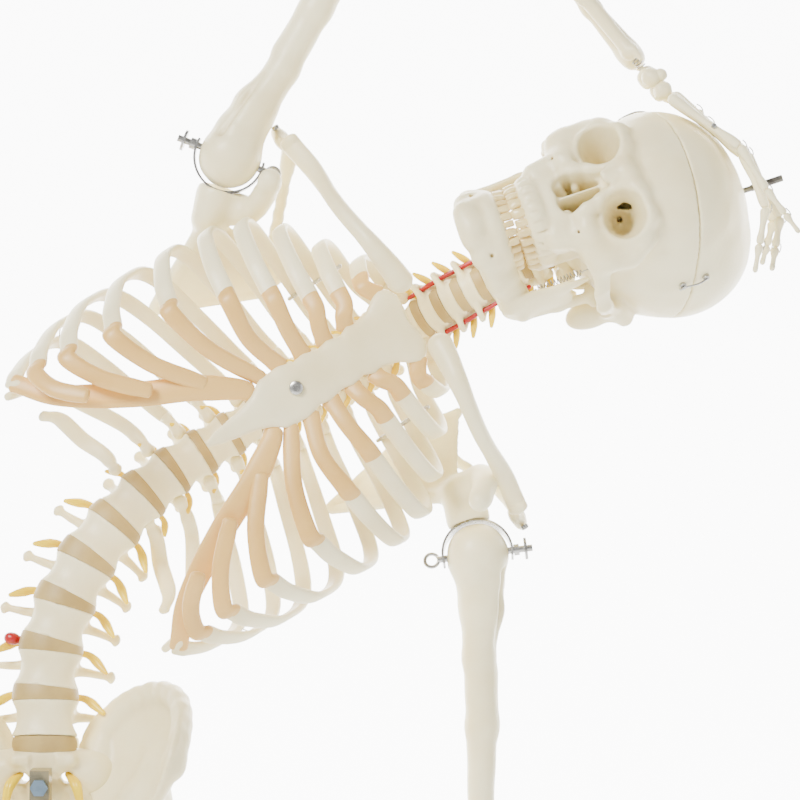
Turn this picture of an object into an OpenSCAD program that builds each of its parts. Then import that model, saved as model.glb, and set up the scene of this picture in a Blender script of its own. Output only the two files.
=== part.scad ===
// Flexible-spine human skeleton model on a pelvic-mount floor stand.
// The figure faces -Y, its left side is +X, and the spine is bent over to +X.

/* [Stand] */
// Reach of each base leg from the pole
base_reach = 340; // [300:10:420]
// Height of the base legs' top at the hub
base_h = 52; // [44:1:60]
// Radius of the upright pole
pole_r = 12.5; // [10:0.5:16]

/* [Spine] */
// Height of the lowest lumbar vertebra's centre above the floor
lumbar_z = 1076; // [1070:1:1082]
// Width of the largest vertebral body
vertebra_w = 50; // [44:1:52]

/* [Skull] */
// Size of the skull against a 215 mm tall one
skull_size = 0.97; // [0.94:0.01:1]
// Radius of the suspension pin at the crown
pin_r = 2.5; // [2:0.1:3]
// Free length of the suspension pin
pin_len = 24; // [18:1:26]

/* [Arms] */
// Radius of the humeral head
head_r = 22.5; // [20:0.5:23]
// Length of the humerus between its joint centres
humerus_len = 290; // [280:1:300]
// Length of the forearm between its joint centres
forearm_len = 240; // [230:1:245]

/* [Legs] */
// Half of the distance between the hip centres
hip_half = 88; // [84:1:92]
// Length of the femur between its joint centres
femur_len = 412; // [400:1:420]
// Length of the shank between its joint centres
shank_len = 362; // [350:1:370]

/* [Hidden] */
$fn = 36;
run_gap = 0.08;          // radial clearance of a pin that turns
loose_gap = 0.4;         // clearance between faces that pass each other

bone = [0.93, 0.90, 0.82];
tan_soft = [0.80, 0.66, 0.47];
nerve = [0.95, 0.78, 0.20];
steel = [0.60, 0.60, 0.60];

// ---- vectors, frames and curves -------------------------------------------

function unit(v) = v / norm(v);
function blend(a, b, t) = a + (b - a) * t;
function flip(p, s) = [p[0] * s, p[1], p[2]];
function all_flip(pts, s) = [for (p = pts) flip(p, s)];
function end_pt(p, i) = i < 0 ? 2 * p[0] - p[1]
    : i >= len(p) ? 2 * p[len(p) - 1] - p[len(p) - 2] : p[i];
function bend_pt(a, b, c, d, t) =
    0.5 * (2 * b + (c - a) * t + (2 * a - 5 * b + 4 * c - d) * t * t
    + (3 * b - a - 3 * c + d) * t * t * t);
// a smooth curve through the points, n steps to each span
function curve(p, n) = [for (k = [0 : (len(p) - 1) * n])
    let (i = min(floor(k / n), len(p) - 2), t = k / n - i)
    bend_pt(end_pt(p, i - 1), p[i], end_pt(p, i + 1), end_pt(p, i + 2), t)];

// children with their +Z along z and their +X close to x
module place(at, z, x) {
    w = unit(z);
    v = unit(cross(w, x));
    u = cross(v, w);
    multmatrix([[u[0], v[0], w[0], at[0]], [u[1], v[1], w[1], at[1]],
        [u[2], v[2], w[2], at[2]], [0, 0, 0, 1]]) children();
}

// a bar of oval section swept along a path; wide lies along up
module bar(path, wide, thick, up = [0, 0, 1], sides = 8) {
    n = len(path);
    rings = [for (i = [0 : n - 1])
        let (t = unit(path[min(i + 1, n - 1)] - path[max(i - 1, 0)]),
            a = unit(cross(t, up)), b = cross(a, t),
            w = is_list(wide) ? lookup(i / (n - 1), wide) : wide,
            h = is_list(thick) ? lookup(i / (n - 1), thick) : thick)
        for (j = [0 : sides - 1])
            path[i] + a * cos(360 * (j + 0.5) / sides) * h / 2
            + b * sin(360 * (j + 0.5) / sides) * w / 2];
    walls = [for (i = [0 : n - 2]) for (j = [0 : sides - 1])
        let (p = i * sides + j, q = i * sides + (j + 1) % sides)
        for (f = [[p, q, p + sides], [q, q + sides, p + sides]]) f];
    first = [[for (j = [sides - 1 : -1 : 0]) j]];
    last = [[for (j = [0 : sides - 1]) (n - 1) * sides + j]];
    polyhedron(points = rings, faces = concat(walls, first, last));
}

// a straight round rod from a to b
module rod(a, b, r, r2) {
    place(a, b - a, abs(b[0] - a[0]) > 0.9 * norm(b - a) ? [0, 1, 0] : [1, 0, 0])
        cylinder(h = norm(b - a), r1 = r, r2 = is_undef(r2) ? r : r2);
}

// ---- the bent spine: 0 is L5, 5 is T12, 17 is C7, 23 is C1 -------------------

lean_at = [[0, 0], [1, 6], [4, 38], [7, 57], [10, 60], [16, 58], [23, 67]];
sag_at = [[0, 10], [2, 8], [4, 12], [6, 12], [9, 3], [12, -10], [16, -26],
    [17, -24], [20, -8], [23, 6]];
pitch_at = [[0, 36], [4, 34], [6, 27], [12, 21], [16, 20], [17, 17], [23, 17]];
disc_at = [[0, 9], [4, 9], [6, 6], [16, 5], [23, 5]];
wide_at = [[0, 1], [4, 0.92], [8, 0.72], [12, 0.6], [16, 0.62], [17, 0.56], [23, 0.5]];
deep_at = [[0, 0.7], [4, 0.64], [8, 0.54], [12, 0.48], [16, 0.36], [23, 0.3]];
wing_at = [[0, 92], [4, 80], [5, 50], [8, 46], [15, 46], [16, 44], [17, 44], [22, 46],
    [23, 70]];
spike_at = [[0, 30], [4, 30], [6, 22], [12, 22], [17, 26], [19, 14], [22, 14], [23, 3]];
droop_at = [[0, 8], [4, 10], [7, 32], [13, 36], [17, 18], [23, 10]];
neck_from = 17;

function heading(i) = let (t = lookup(i, lean_at), s = lookup(i, sag_at))
    [sin(t) * cos(s), sin(s), cos(t) * cos(s)];
function spine_pt(i) = i <= 0 ? [0, 35, lumbar_z]
    : spine_pt(i - 1) + lookup(i - 0.5, pitch_at) * heading(i - 0.5);
function disc_pt(i) = blend(spine_pt(i), spine_pt(i + 1), 0.5);
function body_w(i) = vertebra_w * lookup(i, wide_at);
function body_d(i) = vertebra_w * lookup(i, deep_at);

module at_spine(i) {
    at = i == floor(i) ? spine_pt(i) : disc_pt(floor(i));
    t = lookup(i, lean_at);
    translate(at) rotate([0, t, 0]) rotate([-lookup(i, sag_at), 0, 0]) children();
}

module oval_plug(w, d, h, inset = 0) {
    for (s = [-1, 1]) translate([s * (w - d) / 2, 0, -h / 2])
        cylinder(h = h, r1 = d / 2, r2 = d / 2 - inset);
    if (inset == 0) cube([w - d, d * 0.96, h], center = true);
    else translate([0, 0, -h / 2]) cylinder(h = h, r1 = d / 2, r2 = d / 2 - inset);
}

module vertebra(i) {
    w = body_w(i);
    d = body_d(i);
    h = lookup(i, pitch_at) - lookup(i, disc_at);
    canal = i < 5 ? 9 : 7;
    back = d / 2 + canal - 1;
    wing = lookup(i, wing_at) / 2;
    spike = lookup(i, spike_at);
    at_spine(i) color(bone) {
        difference() {
            union() {
                oval_plug(w, d, h);
                translate([0, back, -h * 0.25]) cylinder(h = h * 0.6, r = canal + 4);
            }
            translate([0, back + 1, -h]) cylinder(h = h * 2, r = canal - 1);
        }
        for (s = [-1, 1]) rod([s * canal, back + 1, 0], [s * wing, back + 3, 0], 3.4, 2.6);
        translate([0, back + canal, 0]) rotate([-lookup(i, droop_at), 0, 0])
            translate([-2.4, 0, -h * 0.24]) cube([4.8, spike + 4, h * 0.4]);
    }
}

module body_plug(i) {
    at_spine(i) oval_plug(body_w(i), body_d(i), lookup(i, pitch_at) - lookup(i, disc_at));
}

// a disc fills the wedge between two bodies; at a bending joint it is a low
// pad on the lower body, domed to clear the upper one
module disc(i, loose = false) {
    w = body_w(i + 0.5) * 0.96;
    d = body_d(i + 0.5) * 0.96;
    h = lookup(i + 0.5, disc_at);
    color(tan_soft) difference() {
        at_spine(i + 0.5) {
            if (loose) {
                translate([0, 0, -h * 0.35]) oval_plug(w, d, h * 0.5);
                translate([0, 0, -h * 0.15]) cylinder(h = h * 0.55 - 0.4, r1 = d * 0.42, r2 = 2);
            } else oval_plug(w, d, h + 2);
        }
        body_plug(i);
        if (!loose) body_plug(i + 1);
    }
}

module nerve_roots(from, to) {
    for (i = [from : to]) {
        d = body_d(i + 0.5);
        w = body_w(i + 0.5);
        long = i < 5 ? 16 : 7.5;
        at_spine(i + 0.5) color(nerve) for (s = [-1, 1])
            rod([s * (w * 0.25 + 3), d / 2 + 2.6, 0],
                [s * (w / 2 + long), d * 0.2 + 3.4, i < 5 ? -5 : 0], i < 5 ? 2.4 : 1.5, 1);
    }
}

// ---- stand and pelvis -----------------------------------------------------

pole_top = 1000;
feet_h = 12;
hub_r = 34;
hub_floor = 8;
bracket_back = 17;
promontory = lumbar_z - 26;

module base_legs() {
    color([0.25, 0.25, 0.27]) {
        difference() {
            cylinder(h = base_h, r = hub_r);
            translate([0, 0, hub_floor]) cylinder(h = base_h, r = pole_r + 0.05);
        }
        for (k = [0 : 4]) rotate([0, 0, 72 * k]) {
            translate([hub_r - 6, -17, feet_h]) cube([base_reach - hub_r - 10, 34, 26]);
            translate([base_reach - 16, 0, feet_h]) cylinder(h = 26, r = 17);
        }
    }
}

module base_feet() {
    color([0.12, 0.12, 0.12]) for (k = [0 : 4]) rotate([0, 0, 72 * k])
        translate([base_reach - 20, 0, 0]) cylinder(h = feet_h, r = 16);
}

module stand_pole() {
    color(steel) translate([0, 0, hub_floor]) difference() {
        cylinder(h = pole_top - hub_floor, r = pole_r);
        translate([0, 0, -1]) cylinder(h = pole_top, r = pole_r - 2);
    }
}

module pelvic_bracket() {
    color([0.78, 0.7, 0.45]) difference() {
        union() {
            translate([0, 0, pole_top]) cylinder(h = 8, r = pole_r);
            translate([-7, -6, pole_top + 8]) cube([14, bracket_back + 6, 34]);
        }
        translate([0, -10, pole_top + 30]) rotate([-90, 0, 0]) cylinder(h = 50, r = 3.05);
    }
}

module bracket_bolt() {
    color([0.45, 0.55, 0.6]) translate([0, -6, pole_top + 30]) rotate([90, 0, 0]) {
        cylinder(h = 4.5, r = 6.5, $fn = 6);
        translate([0, 0, -38]) cylinder(h = 38.1, r = 3);
    }
}

module sacrum() {
    color(bone) difference() {
        union() {
            bar(curve([[0, 34, promontory - 4], [0, 50, promontory - 38],
                [0, 66, promontory - 78], [0, 52, promontory - 122]], 4),
                [[0, 36], [0.4, 24], [1, 8]], [[0, 86], [0.35, 74], [0.75, 34], [1, 10]],
                [0, 1, 0], 12);
        }
        translate([0, -10, pole_top + 30]) rotate([-90, 0, 0]) cylinder(h = 43, r = 3.05);
        translate([-9, -30, pole_top - 10]) cube([18, 30.1 + bracket_back, 62]);
    }
}

hip_at = [hip_half, -4, lumbar_z - 112];
knee_at = hip_at - [0, 0, femur_len];
ankle_at = knee_at - [0, 0, shank_len];

// the left bone; the right one is its mirror image
module hip_bone(s) {
    socket = hip_at;
    sit = [66, 34, lumbar_z - 188];
    pubis = [14, -57, lumbar_z - 150];
    color(bone) mirror([s < 0 ? 1 : 0, 0, 0]) difference() {
        union() {
            translate(socket + [2, 6, 6]) sphere(r = 33);
            // iliac wing
            place([70, 30, lumbar_z - 66], [-0.83, -0.48, 0.28], [0.5, -0.86, 0])
                linear_extrude(10, center = true)
                    polygon([[-38, 34], [-30, 66], [0, 86], [40, 90], [78, 72], [90, 46],
                        [70, 10], [44, -24], [10, -34], [-22, 2]]);
            // pubic and ischial rami
            rod(socket + [-4, -16, -8], pubis, 9, 8);
            rod(socket + [-2, 20, -12], sit, 16, 13);
            rod(sit, pubis - [0, 0, 8], 8, 7);
            translate(sit) sphere(r = 14.5);
        }
        translate(socket) sphere(r = 23 + loose_gap);
        translate(socket + [7, -6, -20]) rotate([0, 90, 0]) cylinder(h = 60, r = 36);
        rod(socket + [10, 0, 0], socket - [46, 0, 0], 3 + run_gap);
    }
}

module pelvic_discs() {
    disc(0);
    disc(1, true);
    color(tan_soft) {
        translate([0, -57, lumbar_z - 152]) rotate([0, 90, 0])
            cylinder(h = 5.4, r = 8, center = true);
        at_spine(0) translate([0, 2, -lookup(0, pitch_at) / 2]) oval_plug(46, 30, 6);
    }
}

module lower_nerve_roots() {
    nerve_roots(0, 1);
    color(nerve) for (s = [-1, 1]) for (k = [0 : 3])
        rod([s * (17 - k), 26 + 8 * k, promontory - 24 - 22 * k],
            [s * (27 - k), 8 + 7 * k, promontory - 40 - 24 * k], 2.4, 1.2);
}

// ---- rib cage, in a frame at the top of the manubrium ------------------------

cage_at = [266, 0, lumbar_z + 290];
cage_lean = 58;
cage_side = [cos(cage_lean), 0, -sin(cage_lean)];
cage_up = [sin(cage_lean), 0, cos(cage_lean)];
function in_cage(p) = [(p - cage_at) * cage_side, p[1], (p - cage_at) * cage_up];
function from_cage(q) = cage_at + q[0] * cage_side + [0, q[1], 0] + q[2] * cage_up;
module cage() {
    translate(cage_at) rotate([0, cage_lean, 0]) children();
}

rib_front_x = [44, 42, 50, 68, 84, 98, 105, 109, 112, 110, 108, 84];
rib_front_z = [-14, -33, -52, -74, -101, -139, -181, -216, -241, -264, -276, -266];
rib_front_y = [-10, -20, -28, -36, -42, -48, -50, -46, -38, -28, 28, 62];
rib_half_w = [56, 80, 104, 122, 130, 133, 134, 134, 131, 124, 118, 90];

function rib_head(k) = let (i = 17 - k) in_cage(spine_pt(i) +
    heading(i) * lookup(i, pitch_at) * 0.02);
function rib_pts(k) = let (h = rib_head(k), i = 17 - k, w = rib_half_w[k - 1],
    f = [rib_front_x[k - 1], rib_front_y[k - 1], rib_front_z[k - 1]])
    k > 10 ? [[body_w(i) / 2 + 6, h[1] + 8, h[2]], [48, h[1] + 18, h[2] - 6],
        [w * 0.84, blend(h[1], f[1], 0.4) + 8, blend(h[2], f[2], 0.6)], f]
    : [[body_w(i) / 2 + 6, h[1] + 8, h[2]], [k == 1 ? 36 : 46, h[1] + 18, h[2] - 4],
        [w * 0.92, blend(h[1], f[1], 0.4) + 14, blend(h[2], f[2], 0.36)],
        [w, blend(h[1], f[1], 0.66), blend(h[2], f[2], 0.66)],
        [blend(w, f[0], 0.5), blend(h[1], f[1], 0.9), blend(h[2], f[2], 0.9)], f];

module ribs(s) {
    cage() color(bone) for (k = [1 : 12])
        bar(curve(all_flip(rib_pts(k), s), 3), [[0, 8], [0.2, 10], [1, k > 10 ? 8 : 13]],
            [[0, 6], [1, 5.5]]);
}

function sternum_y(z) = -14 + 0.22 * z;
join_x = [26, 18, 17, 17, 19, 19, 40, 56, 76, 15];
join_z = [-10, -42, -60, -78, -96, -112, -152, -187, -226, -124];

module cartilages(s) {
    cage() color(tan_soft) for (k = [1 : 10]) {
        tip = [rib_front_x[k - 1], rib_front_y[k - 1], rib_front_z[k - 1]];
        e = [join_x[k - 1] + 3.5, sternum_y(join_z[k - 1]), join_z[k - 1]];
        back = rib_pts(k)[4];
        f = tip + (k == 10 ? 7 : 4.5) * unit(tip - back);
        path = k == 10 ? [f, [84, -36, -240], [57, -42, -194], [40, -44, -157], [24, -42, -132], e]
            : k == 1 ? [f, e] : [f, blend(f, e, 0.5) + [0, -3, k > 4 ? -5 : -1], e];
        bar(curve(all_flip(path, s), 3), k == 10 ? 15 : 11, 6);
    }
}

module sternum() {
    cage() color(bone) translate([0, sternum_y(0), 0]) rotate([atan(0.22) + 90, 0, 0])
        linear_extrude(10, center = true) {
            half = [[14, 2], [27, 8], [31, 0], [27, -14], [18, -40], [16, -48], [18, -58],
                [16, -68], [19, -78], [18, -88], [21, -98], [19, -112], [12, -126],
                [8, -142], [3, -168]];
            polygon(concat([for (p = half) p], [for (k = [len(half) - 1 : -1 : 0])
                [-half[k][0], half[k][1]]]));
        }
}

module clavicle(s) {
    cage() color(bone) bar(curve(all_flip([[33, -16, 6], [62, -26, 5], [96, -6, 0],
        [128, 20, -1], [152, 34, -4]], s), 4), [[0, 16], [0.3, 12], [0.8, 12], [1, 16]],
        [[0, 15], [0.3, 11], [1, 9]]);
}

shoulder = [171, 38, -48];
function head_at(s) = from_cage(flip(shoulder, s));
// the yoke opens along -z of its frame, and its stud runs along x
function yoke_x(s) = s > 0 ? unit([0.99, 0, 0.127]) : unit([-0.93, 0, 0.36]);
function yoke_z(s) = s > 0 ? unit([-0.118, 0.38, 0.92]) : unit([-0.36, 0, -0.93]);
module at_yoke(s) {
    place(head_at(s), yoke_z(s), yoke_x(s)) children();
}
strap_in = head_r + 2.2;
strap_out = strap_in + 1.6;
stud_r = 2.5;
bolt_r = 3;

module scapula(s) {
    neck = s > 0 ? [120, 54, -34] : [140, 50, -90];
    upper = s > 0 ? [76, 92, -2] : [82, 92, -34];
    lower = s > 0 ? [86, 114, -128] : [110, 104, -160];
    edge = s > 0 ? [70, 108, -44] : [78, 108, -84];
    tip = [158, 52, -6];
    z0 = strap_out + loose_gap;
    color(bone) difference() {
        union() {
            cage() {
                hull() for (p = [neck, upper, lower, edge])
                    translate(flip(p, s)) sphere(r = 2.6, $fn = 12);
                bar(curve(all_flip([edge, blend(edge, tip, 0.5) + [0, 14, 8],
                    [150, 72, -4], tip], s), 3), 10, 8);
                bar(curve(all_flip([neck, s > 0 ? [126, 30, -12] : [128, 36, -60],
                    s > 0 ? [136, 8, -22] : [138, 8, -34]], s), 3), 12, 11);
            }
            at_yoke(s) translate([0, 0, z0]) cylinder(h = 26, r1 = 15, r2 = 10);
        }
        at_yoke(s) cylinder(h = z0 + 20, r = bolt_r + run_gap);
        at_yoke(s) translate([0, 0, 0]) sphere(r = z0);
    }
}

// the screw in the breastbone, one behind each acromion, and the blade rods
module thorax_screws() {
    color(steel) cage() {
        translate([0, sternum_y(-94) - 4.9, -94]) rotate([90, 0, 0]) cylinder(h = 3, r = 4.5);
        for (s = [-1, 1]) {
            translate([s * 166, 52, -6]) rotate([0, s * 90, 0]) cylinder(h = 4, r = 2.6);
            rod(flip([60, 12, -20], s), flip([62, 78, -64], s), 1.6);
        }
    }
}

// ---- skull, in a frame at its condyles ----------------------------------------

skull_at = [386, 27, lumbar_z + 347];
skull_lean = 71.6;
skull_turn = -22;
vault_r = 70;
vault_y = 22;
vault_z = 68;
wall = 5;
cut_z = 64;
cut_tilt = -18.5;
main_pin = [0, 8, 128];
side_pin = [-48, 20, 121.5];
pin_seat = 11.5;         // from the pin's foot to where its full radius starts
root_r = pin_r - 0.4;
module skull() {
    translate(skull_at) rotate([0, skull_lean, 0]) rotate([0, 0, skull_turn])
        scale(skull_size) children();
}

module vault(r) {
    translate([0, -2, vault_z]) {
        for (s = [-1, 1]) translate([0, s * vault_y, 0]) sphere(r = r, $fn = 48);
        rotate([90, 0, 0]) cylinder(h = 2 * vault_y, r = r, center = true, $fn = 48);
    }
}

module above_cut(gap) {
    translate([0, 0, cut_z + gap]) rotate([cut_tilt, 0, 0])
        translate([-100, -120, 0]) cube([200, 240, 120]);
}

module calvarium() {
    skull() color(bone) intersection() {
        difference() {
            vault(vault_r);
            vault(vault_r - wall);
            translate(main_pin - [0, 0, 8]) cylinder(h = 30, r = (root_r + 0.05) / skull_size);
        }
        above_cut(0.3);
    }
}

module cranium() {
    skull() color(bone) difference() {
        union() {
            vault(vault_r);
            translate([0, -44, 2]) cylinder(h = 56, r = 48);
            translate([0, -58, -32]) cylinder(h = 40, r1 = 27, r2 = 36);
            for (s = [-1, 1]) {
                translate([s * 50, 20, -22]) cylinder(h = 36, r1 = 6, r2 = 13);
                rod([s * 42, -66, 4], [s * 65, -36, 3], 8, 4);
                rod([s * 65, -36, 3], [s * 64, 4, 6], 4);
            }
        }
        vault(vault_r - wall);
        above_cut(0);
        for (s = [-1, 1]) rod([s * 34, -100, 29], [s * 20, -50, 29], 21, 8);
        rod([0, -110, 6], [0, -60, 8], 13, 10);
        translate([0, -40, -40]) cylinder(h = 40, r = 20);
        translate([0, -8, -10]) cylinder(h = 30, r = 15);
    }
}

// a row of teeth round the dental arch
module teeth(z, n, r) {
    skull() color([0.93, 0.88, 0.68]) for (k = [0 : n - 1]) {
        a = 180 + 180 * (k + 0.5) / n;
        translate([r * cos(a), -66 + (r * 0.98) * sin(a), z]) cylinder(h = 9.6, r = 2.15, $fn = 16);
    }
}

module upper_teeth() teeth(-41.8, 16, 25);
module lower_teeth() teeth(-52, 16, 23.6);

jaw_pivot = [0, -6, 0];
module mandible() {
    skull() color(bone) {
        bar(curve([[48, -22, -48], [38, -50, -62], [22, -80, -66], [0, -90, -68],
            [-22, -80, -66], [-38, -50, -62], [-48, -22, -48]], 3),
            [[0, 30], [0.5, 28], [1, 30]], [[0, 8], [0.5, 12], [1, 8]]);
        for (s = [-1, 1]) {
            translate([s * 48, 0, 0]) rotate([90, 0, 90]) linear_extrude(6, center = true)
                polygon([[-6, -58], [-34, -66], [-38, -28], [-34, -2], [-26, -12],
                    [-12, -14], [-10, -2], [0, -2], [2, -20]]);
            translate([s * 48, -6, -2]) rotate([0, 90, 0]) cylinder(h = 16, r = 4.5, center = true);
        }
    }
}

module jaw_springs() {
    skull() color(steel) for (s = [-1, 1])
        rod([s * 39.5, -30, -45], [s * 39.5, -36, 0.5], 1.2);
}

module suspension_pins() {
    skull() color([0.35, 0.34, 0.3]) {
        translate(main_pin) cylinder(h = pin_seat + 1, r = root_r / skull_size);
        translate(main_pin + [0, 0, pin_seat])
            cylinder(h = pin_len / skull_size, r = pin_r / skull_size);
        translate(side_pin) cylinder(h = 9, r = pin_r / skull_size);
    }
}

// vertebral arteries beside the neck
module vertebral_arteries() {
    color([0.75, 0.1, 0.08]) for (s = [-1, 1]) {
        at_spine(18) rod([s * 19, -3, -14], [s * 19, -3, 26], 2);
        at_spine(21) rod([s * 18, -2, -10], [s * 18, -2, 18], 2);
    }
}

module slipped_disc() {
    color([0.75, 0.1, 0.08]) at_spine(1.5) translate([-31, 6, 0]) sphere(r = 5);
}

// ---- arms -----------------------------------------------------------------

module yoke(s) {
    color(steel) at_yoke(s) difference() {
        union() {
            rotate([90, 0, 0]) rotate([0, 0, -12]) rotate_extrude(angle = 204, $fn = 72)
                translate([strap_in, -6]) square([1.6, 12]);
            translate([0, 0, strap_in + 0.1]) cylinder(h = 20, r = bolt_r);
        }
        rotate([0, 90, 0]) cylinder(h = 80, r = stud_r + 0.05, center = true);
    }
}

module stud(s) {
    color(steel) at_yoke(s) rotate([0, 90, 0]) {
        translate([0, 0, -strap_out - 3]) cylinder(h = 2 * strap_out + 17, r = stud_r);
        translate([0, 0, strap_out + 8]) cylinder(h = 2, r = 8);
        translate([0, 0, strap_out + 0.3]) cylinder(h = 4, r = 4.2);
        translate([0, 0, -strap_out - 7.5]) rotate([90, 0, 0]) rotate_extrude()
            translate([5, 0]) circle(r = 1.3);
    }
}

function arm_dir(s) = s > 0 ? unit([0.012, 0, -1]) : unit([0.52, -0.03, 0.854]);
function elbow_at(s) = head_at(s) + humerus_len * arm_dir(s);
function wrist_at(s) = elbow_at(s) + forearm_len *
    (s > 0 ? unit([0.01, 0, -1]) : unit([151, -22, -188]));
elbow_r = 11;
// square to both arm bones, so the roller and its cup share one hinge line
function elbow_axis(s) = s > 0 ? [1, 0, 0]
    : unit(cross(arm_dir(s), wrist_at(s) - elbow_at(s)));

module at_elbow(s, z) {
    place(elbow_at(s), z, elbow_axis(s)) children();
}

module humerus(s) {
    color(bone) difference() {
        union() {
            translate(head_at(s)) sphere(r = head_r);
            rod(head_at(s) + 6 * arm_dir(s), head_at(s) + 70 * arm_dir(s), 19, 11.5);
            rod(head_at(s) + 69 * arm_dir(s), elbow_at(s) - 40 * arm_dir(s), 11.5, 9.5);
            // the flattened lower end and its roller
            at_elbow(s, -arm_dir(s)) {
                translate([-14, -4.5, 4]) cube([28, 9, 40]);
                rotate([0, 90, 0]) cylinder(h = 44, r = elbow_r, center = true);
            }
        }
        at_yoke(s) rotate([0, 90, 0]) cylinder(h = 80, r = stud_r + run_gap, center = true);
        at_elbow(s, -arm_dir(s)) rotate([0, 90, 0]) cylinder(h = 80, r = 2.05, center = true);
    }
}

module elbow_pin(s) {
    color(steel) at_elbow(s, -arm_dir(s)) rotate([0, 90, 0]) {
        cylinder(h = 44, r = 2, center = true);
        for (k = [-1, 1]) translate([0, 0, k * 23]) cylinder(h = 2, r = 3.6, center = true);
    }
}

module forearm(s) {
    along = unit(wrist_at(s) - elbow_at(s));
    long = forearm_len;
    color(bone) at_elbow(s, along) {
        // ulna with its hook round the roller, then the radius
        difference() {
            union() {
                translate([-9, -11, 10]) cube([18, 22, 14]);
                rod([0, 0, 18], [-9, 0, long - 22], 8.5, 5.5);
                translate([-9, 0, long - 24]) cylinder(h = 14, r = 7);
            }
            rotate([0, 90, 0]) cylinder(h = 60, r = elbow_r + loose_gap, center = true);
        }
        rod([19, 0, 22], [14, 0, 42], 8.5, 5.5);
        translate([14, 0, 42]) sphere(r = 6.3);
        rod([14, 0, 42], [14, 0, long - 30], 5.5, 6.3);
        translate([14, 0, long - 30]) sphere(r = 7.2);
        rod([14, 0, long - 30], [13, 0, long - 11], 6.3, 11.5);
    }
}

// finger joints for a hanging hand: x across, z down the hand
function ray(k) = let (a = [-30, -12, -4, 4, 12][k], l = [38, 64, 62, 58, 52][k],
    b = [14, 9, 2, -6, -13][k], f = [30, 78, 84, 78, 62][k])
    k == 0 ? [[b, -4, 24], [b + 16, -10, 24 + l * 0.8], [b + 26, -12, 24 + l * 0.8 + f]]
    : [[b, 0, 26], [b * 1.8, -2, 26 + l], [b * 2.2, -10, 26 + l + f * 0.5],
        [b * 2.3, -20, 26 + l + f * 0.94]];

// the bones of one finger, each tapered at its ends and short of the next
bone_gap = 1.4;
module finger(points) {
    for (i = [0 : len(points) - 2]) {
        along = unit(points[i + 1] - points[i]);
        a = points[i] + (i == 0 ? 0 : bone_gap) * along;
        b = points[i + 1] - bone_gap * along;
        w = 9.2 - 1.3 * (i + 4 - len(points));
        size = [[0, w * 0.6], [0.3, w], [0.7, w], [1, w * 0.6]];
        bar([a, blend(a, b, 0.12), blend(a, b, 0.88), b], size, size, [0, 1, 0], 8);
    }
}

module hand(s) {
    color(bone) if (s > 0) {
        place(wrist_at(s), unit(wrist_at(s) - elbow_at(s)), [1, 0, 0])
            mirror([1, 0, 0]) {
                oval_carpals();
                for (k = [0 : 4]) finger(ray(k));
            }
    } else {
        place(wrist_at(s), carpal_dir, [0, -1, 0]) oval_carpals();
        for (k = [0 : 4]) finger(raised_ray(k));
    }
}

carpal_dir = [0.62, 0.05, -0.78];
module oval_carpals() {
    for (k = [-1 : 1]) translate([k * 11, 0, 7]) sphere(r = 7.5);
    for (k = [-1.5 : 1.5]) translate([k * 9, 0, 20]) sphere(r = 8);
    rod([-15, 0, 12], [15, 0, 12], 6);
}

// finger joints of the raised hand, little finger nearest to the front
raised = [
    [[466, 20, 1544], [488, 24, 1532], [504, 25, 1516]],
    [[468, 6, 1542], [518, 4, 1492], [540, 0, 1446], [531, 0, 1418]],
    [[468, -10, 1542], [519, -14, 1491], [548, -20, 1446], [534, -22, 1402]],
    [[467, -24, 1541], [516, -30, 1490], [540, -38, 1450], [524, -40, 1398]],
    [[465, -36, 1540], [508, -46, 1488], [530, -54, 1456], [546, -58, 1428]]];
function raised_ray(k) = [for (p = raised[k]) p + [0, 0, lumbar_z - 1076]];

// ---- legs -----------------------------------------------------------------

module femur(s) {
    side = [s, 0, 0];
    h = flip(hip_at, s);
    k = flip(knee_at, s);
    bow = k + 10 * side + [0, 0, 64];
    color(bone) difference() {
        union() {
            translate(h) rotate([0, 90, 0]) sphere(r = 23);
            rod(h + 12 * side - [0, 0, 6], h + 48 * side - [0, 0, 24], 14, 17);
            translate(h + 48 * side - [0, 0, 24]) sphere(r = 18);
            rod(h + 48 * side - [0, 0, 28], bow, 13.5, 13.5);
            translate(bow) sphere(r = 14.5);
            rod(bow, k + [0, 0, 26], 13.5, 19);
            for (e = [-1, 1]) translate(k + [e * 22, 0, 0]) rotate([0, 90, 0])
                cylinder(h = 28, r = 20, center = true);
            translate(k + [-32, -13, 13]) cube([64, 26, 22]);
        }
        translate(k) rotate([0, 90, 0]) cylinder(h = 15, r = 13, center = true);
        translate(k) rotate([0, 90, 0]) cylinder(h = 100, r = 3.05, center = true);
        rod(h - 30 * side, h + 18 * side, 3.05);
    }
    color(bone) translate(k + [0, -27, 10]) rotate([90, 0, 0]) cylinder(h = 10, r1 = 18, r2 = 12);
}

module leg_pins(s) {
    color(steel) {
        rod(flip(hip_at + [17, 0, 0], s), flip(hip_at - [40, 0, 0], s), 3);
        translate(flip(knee_at, s)) rotate([0, 90, 0]) cylinder(h = 72, r = 3, center = true);
    }
}

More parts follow.
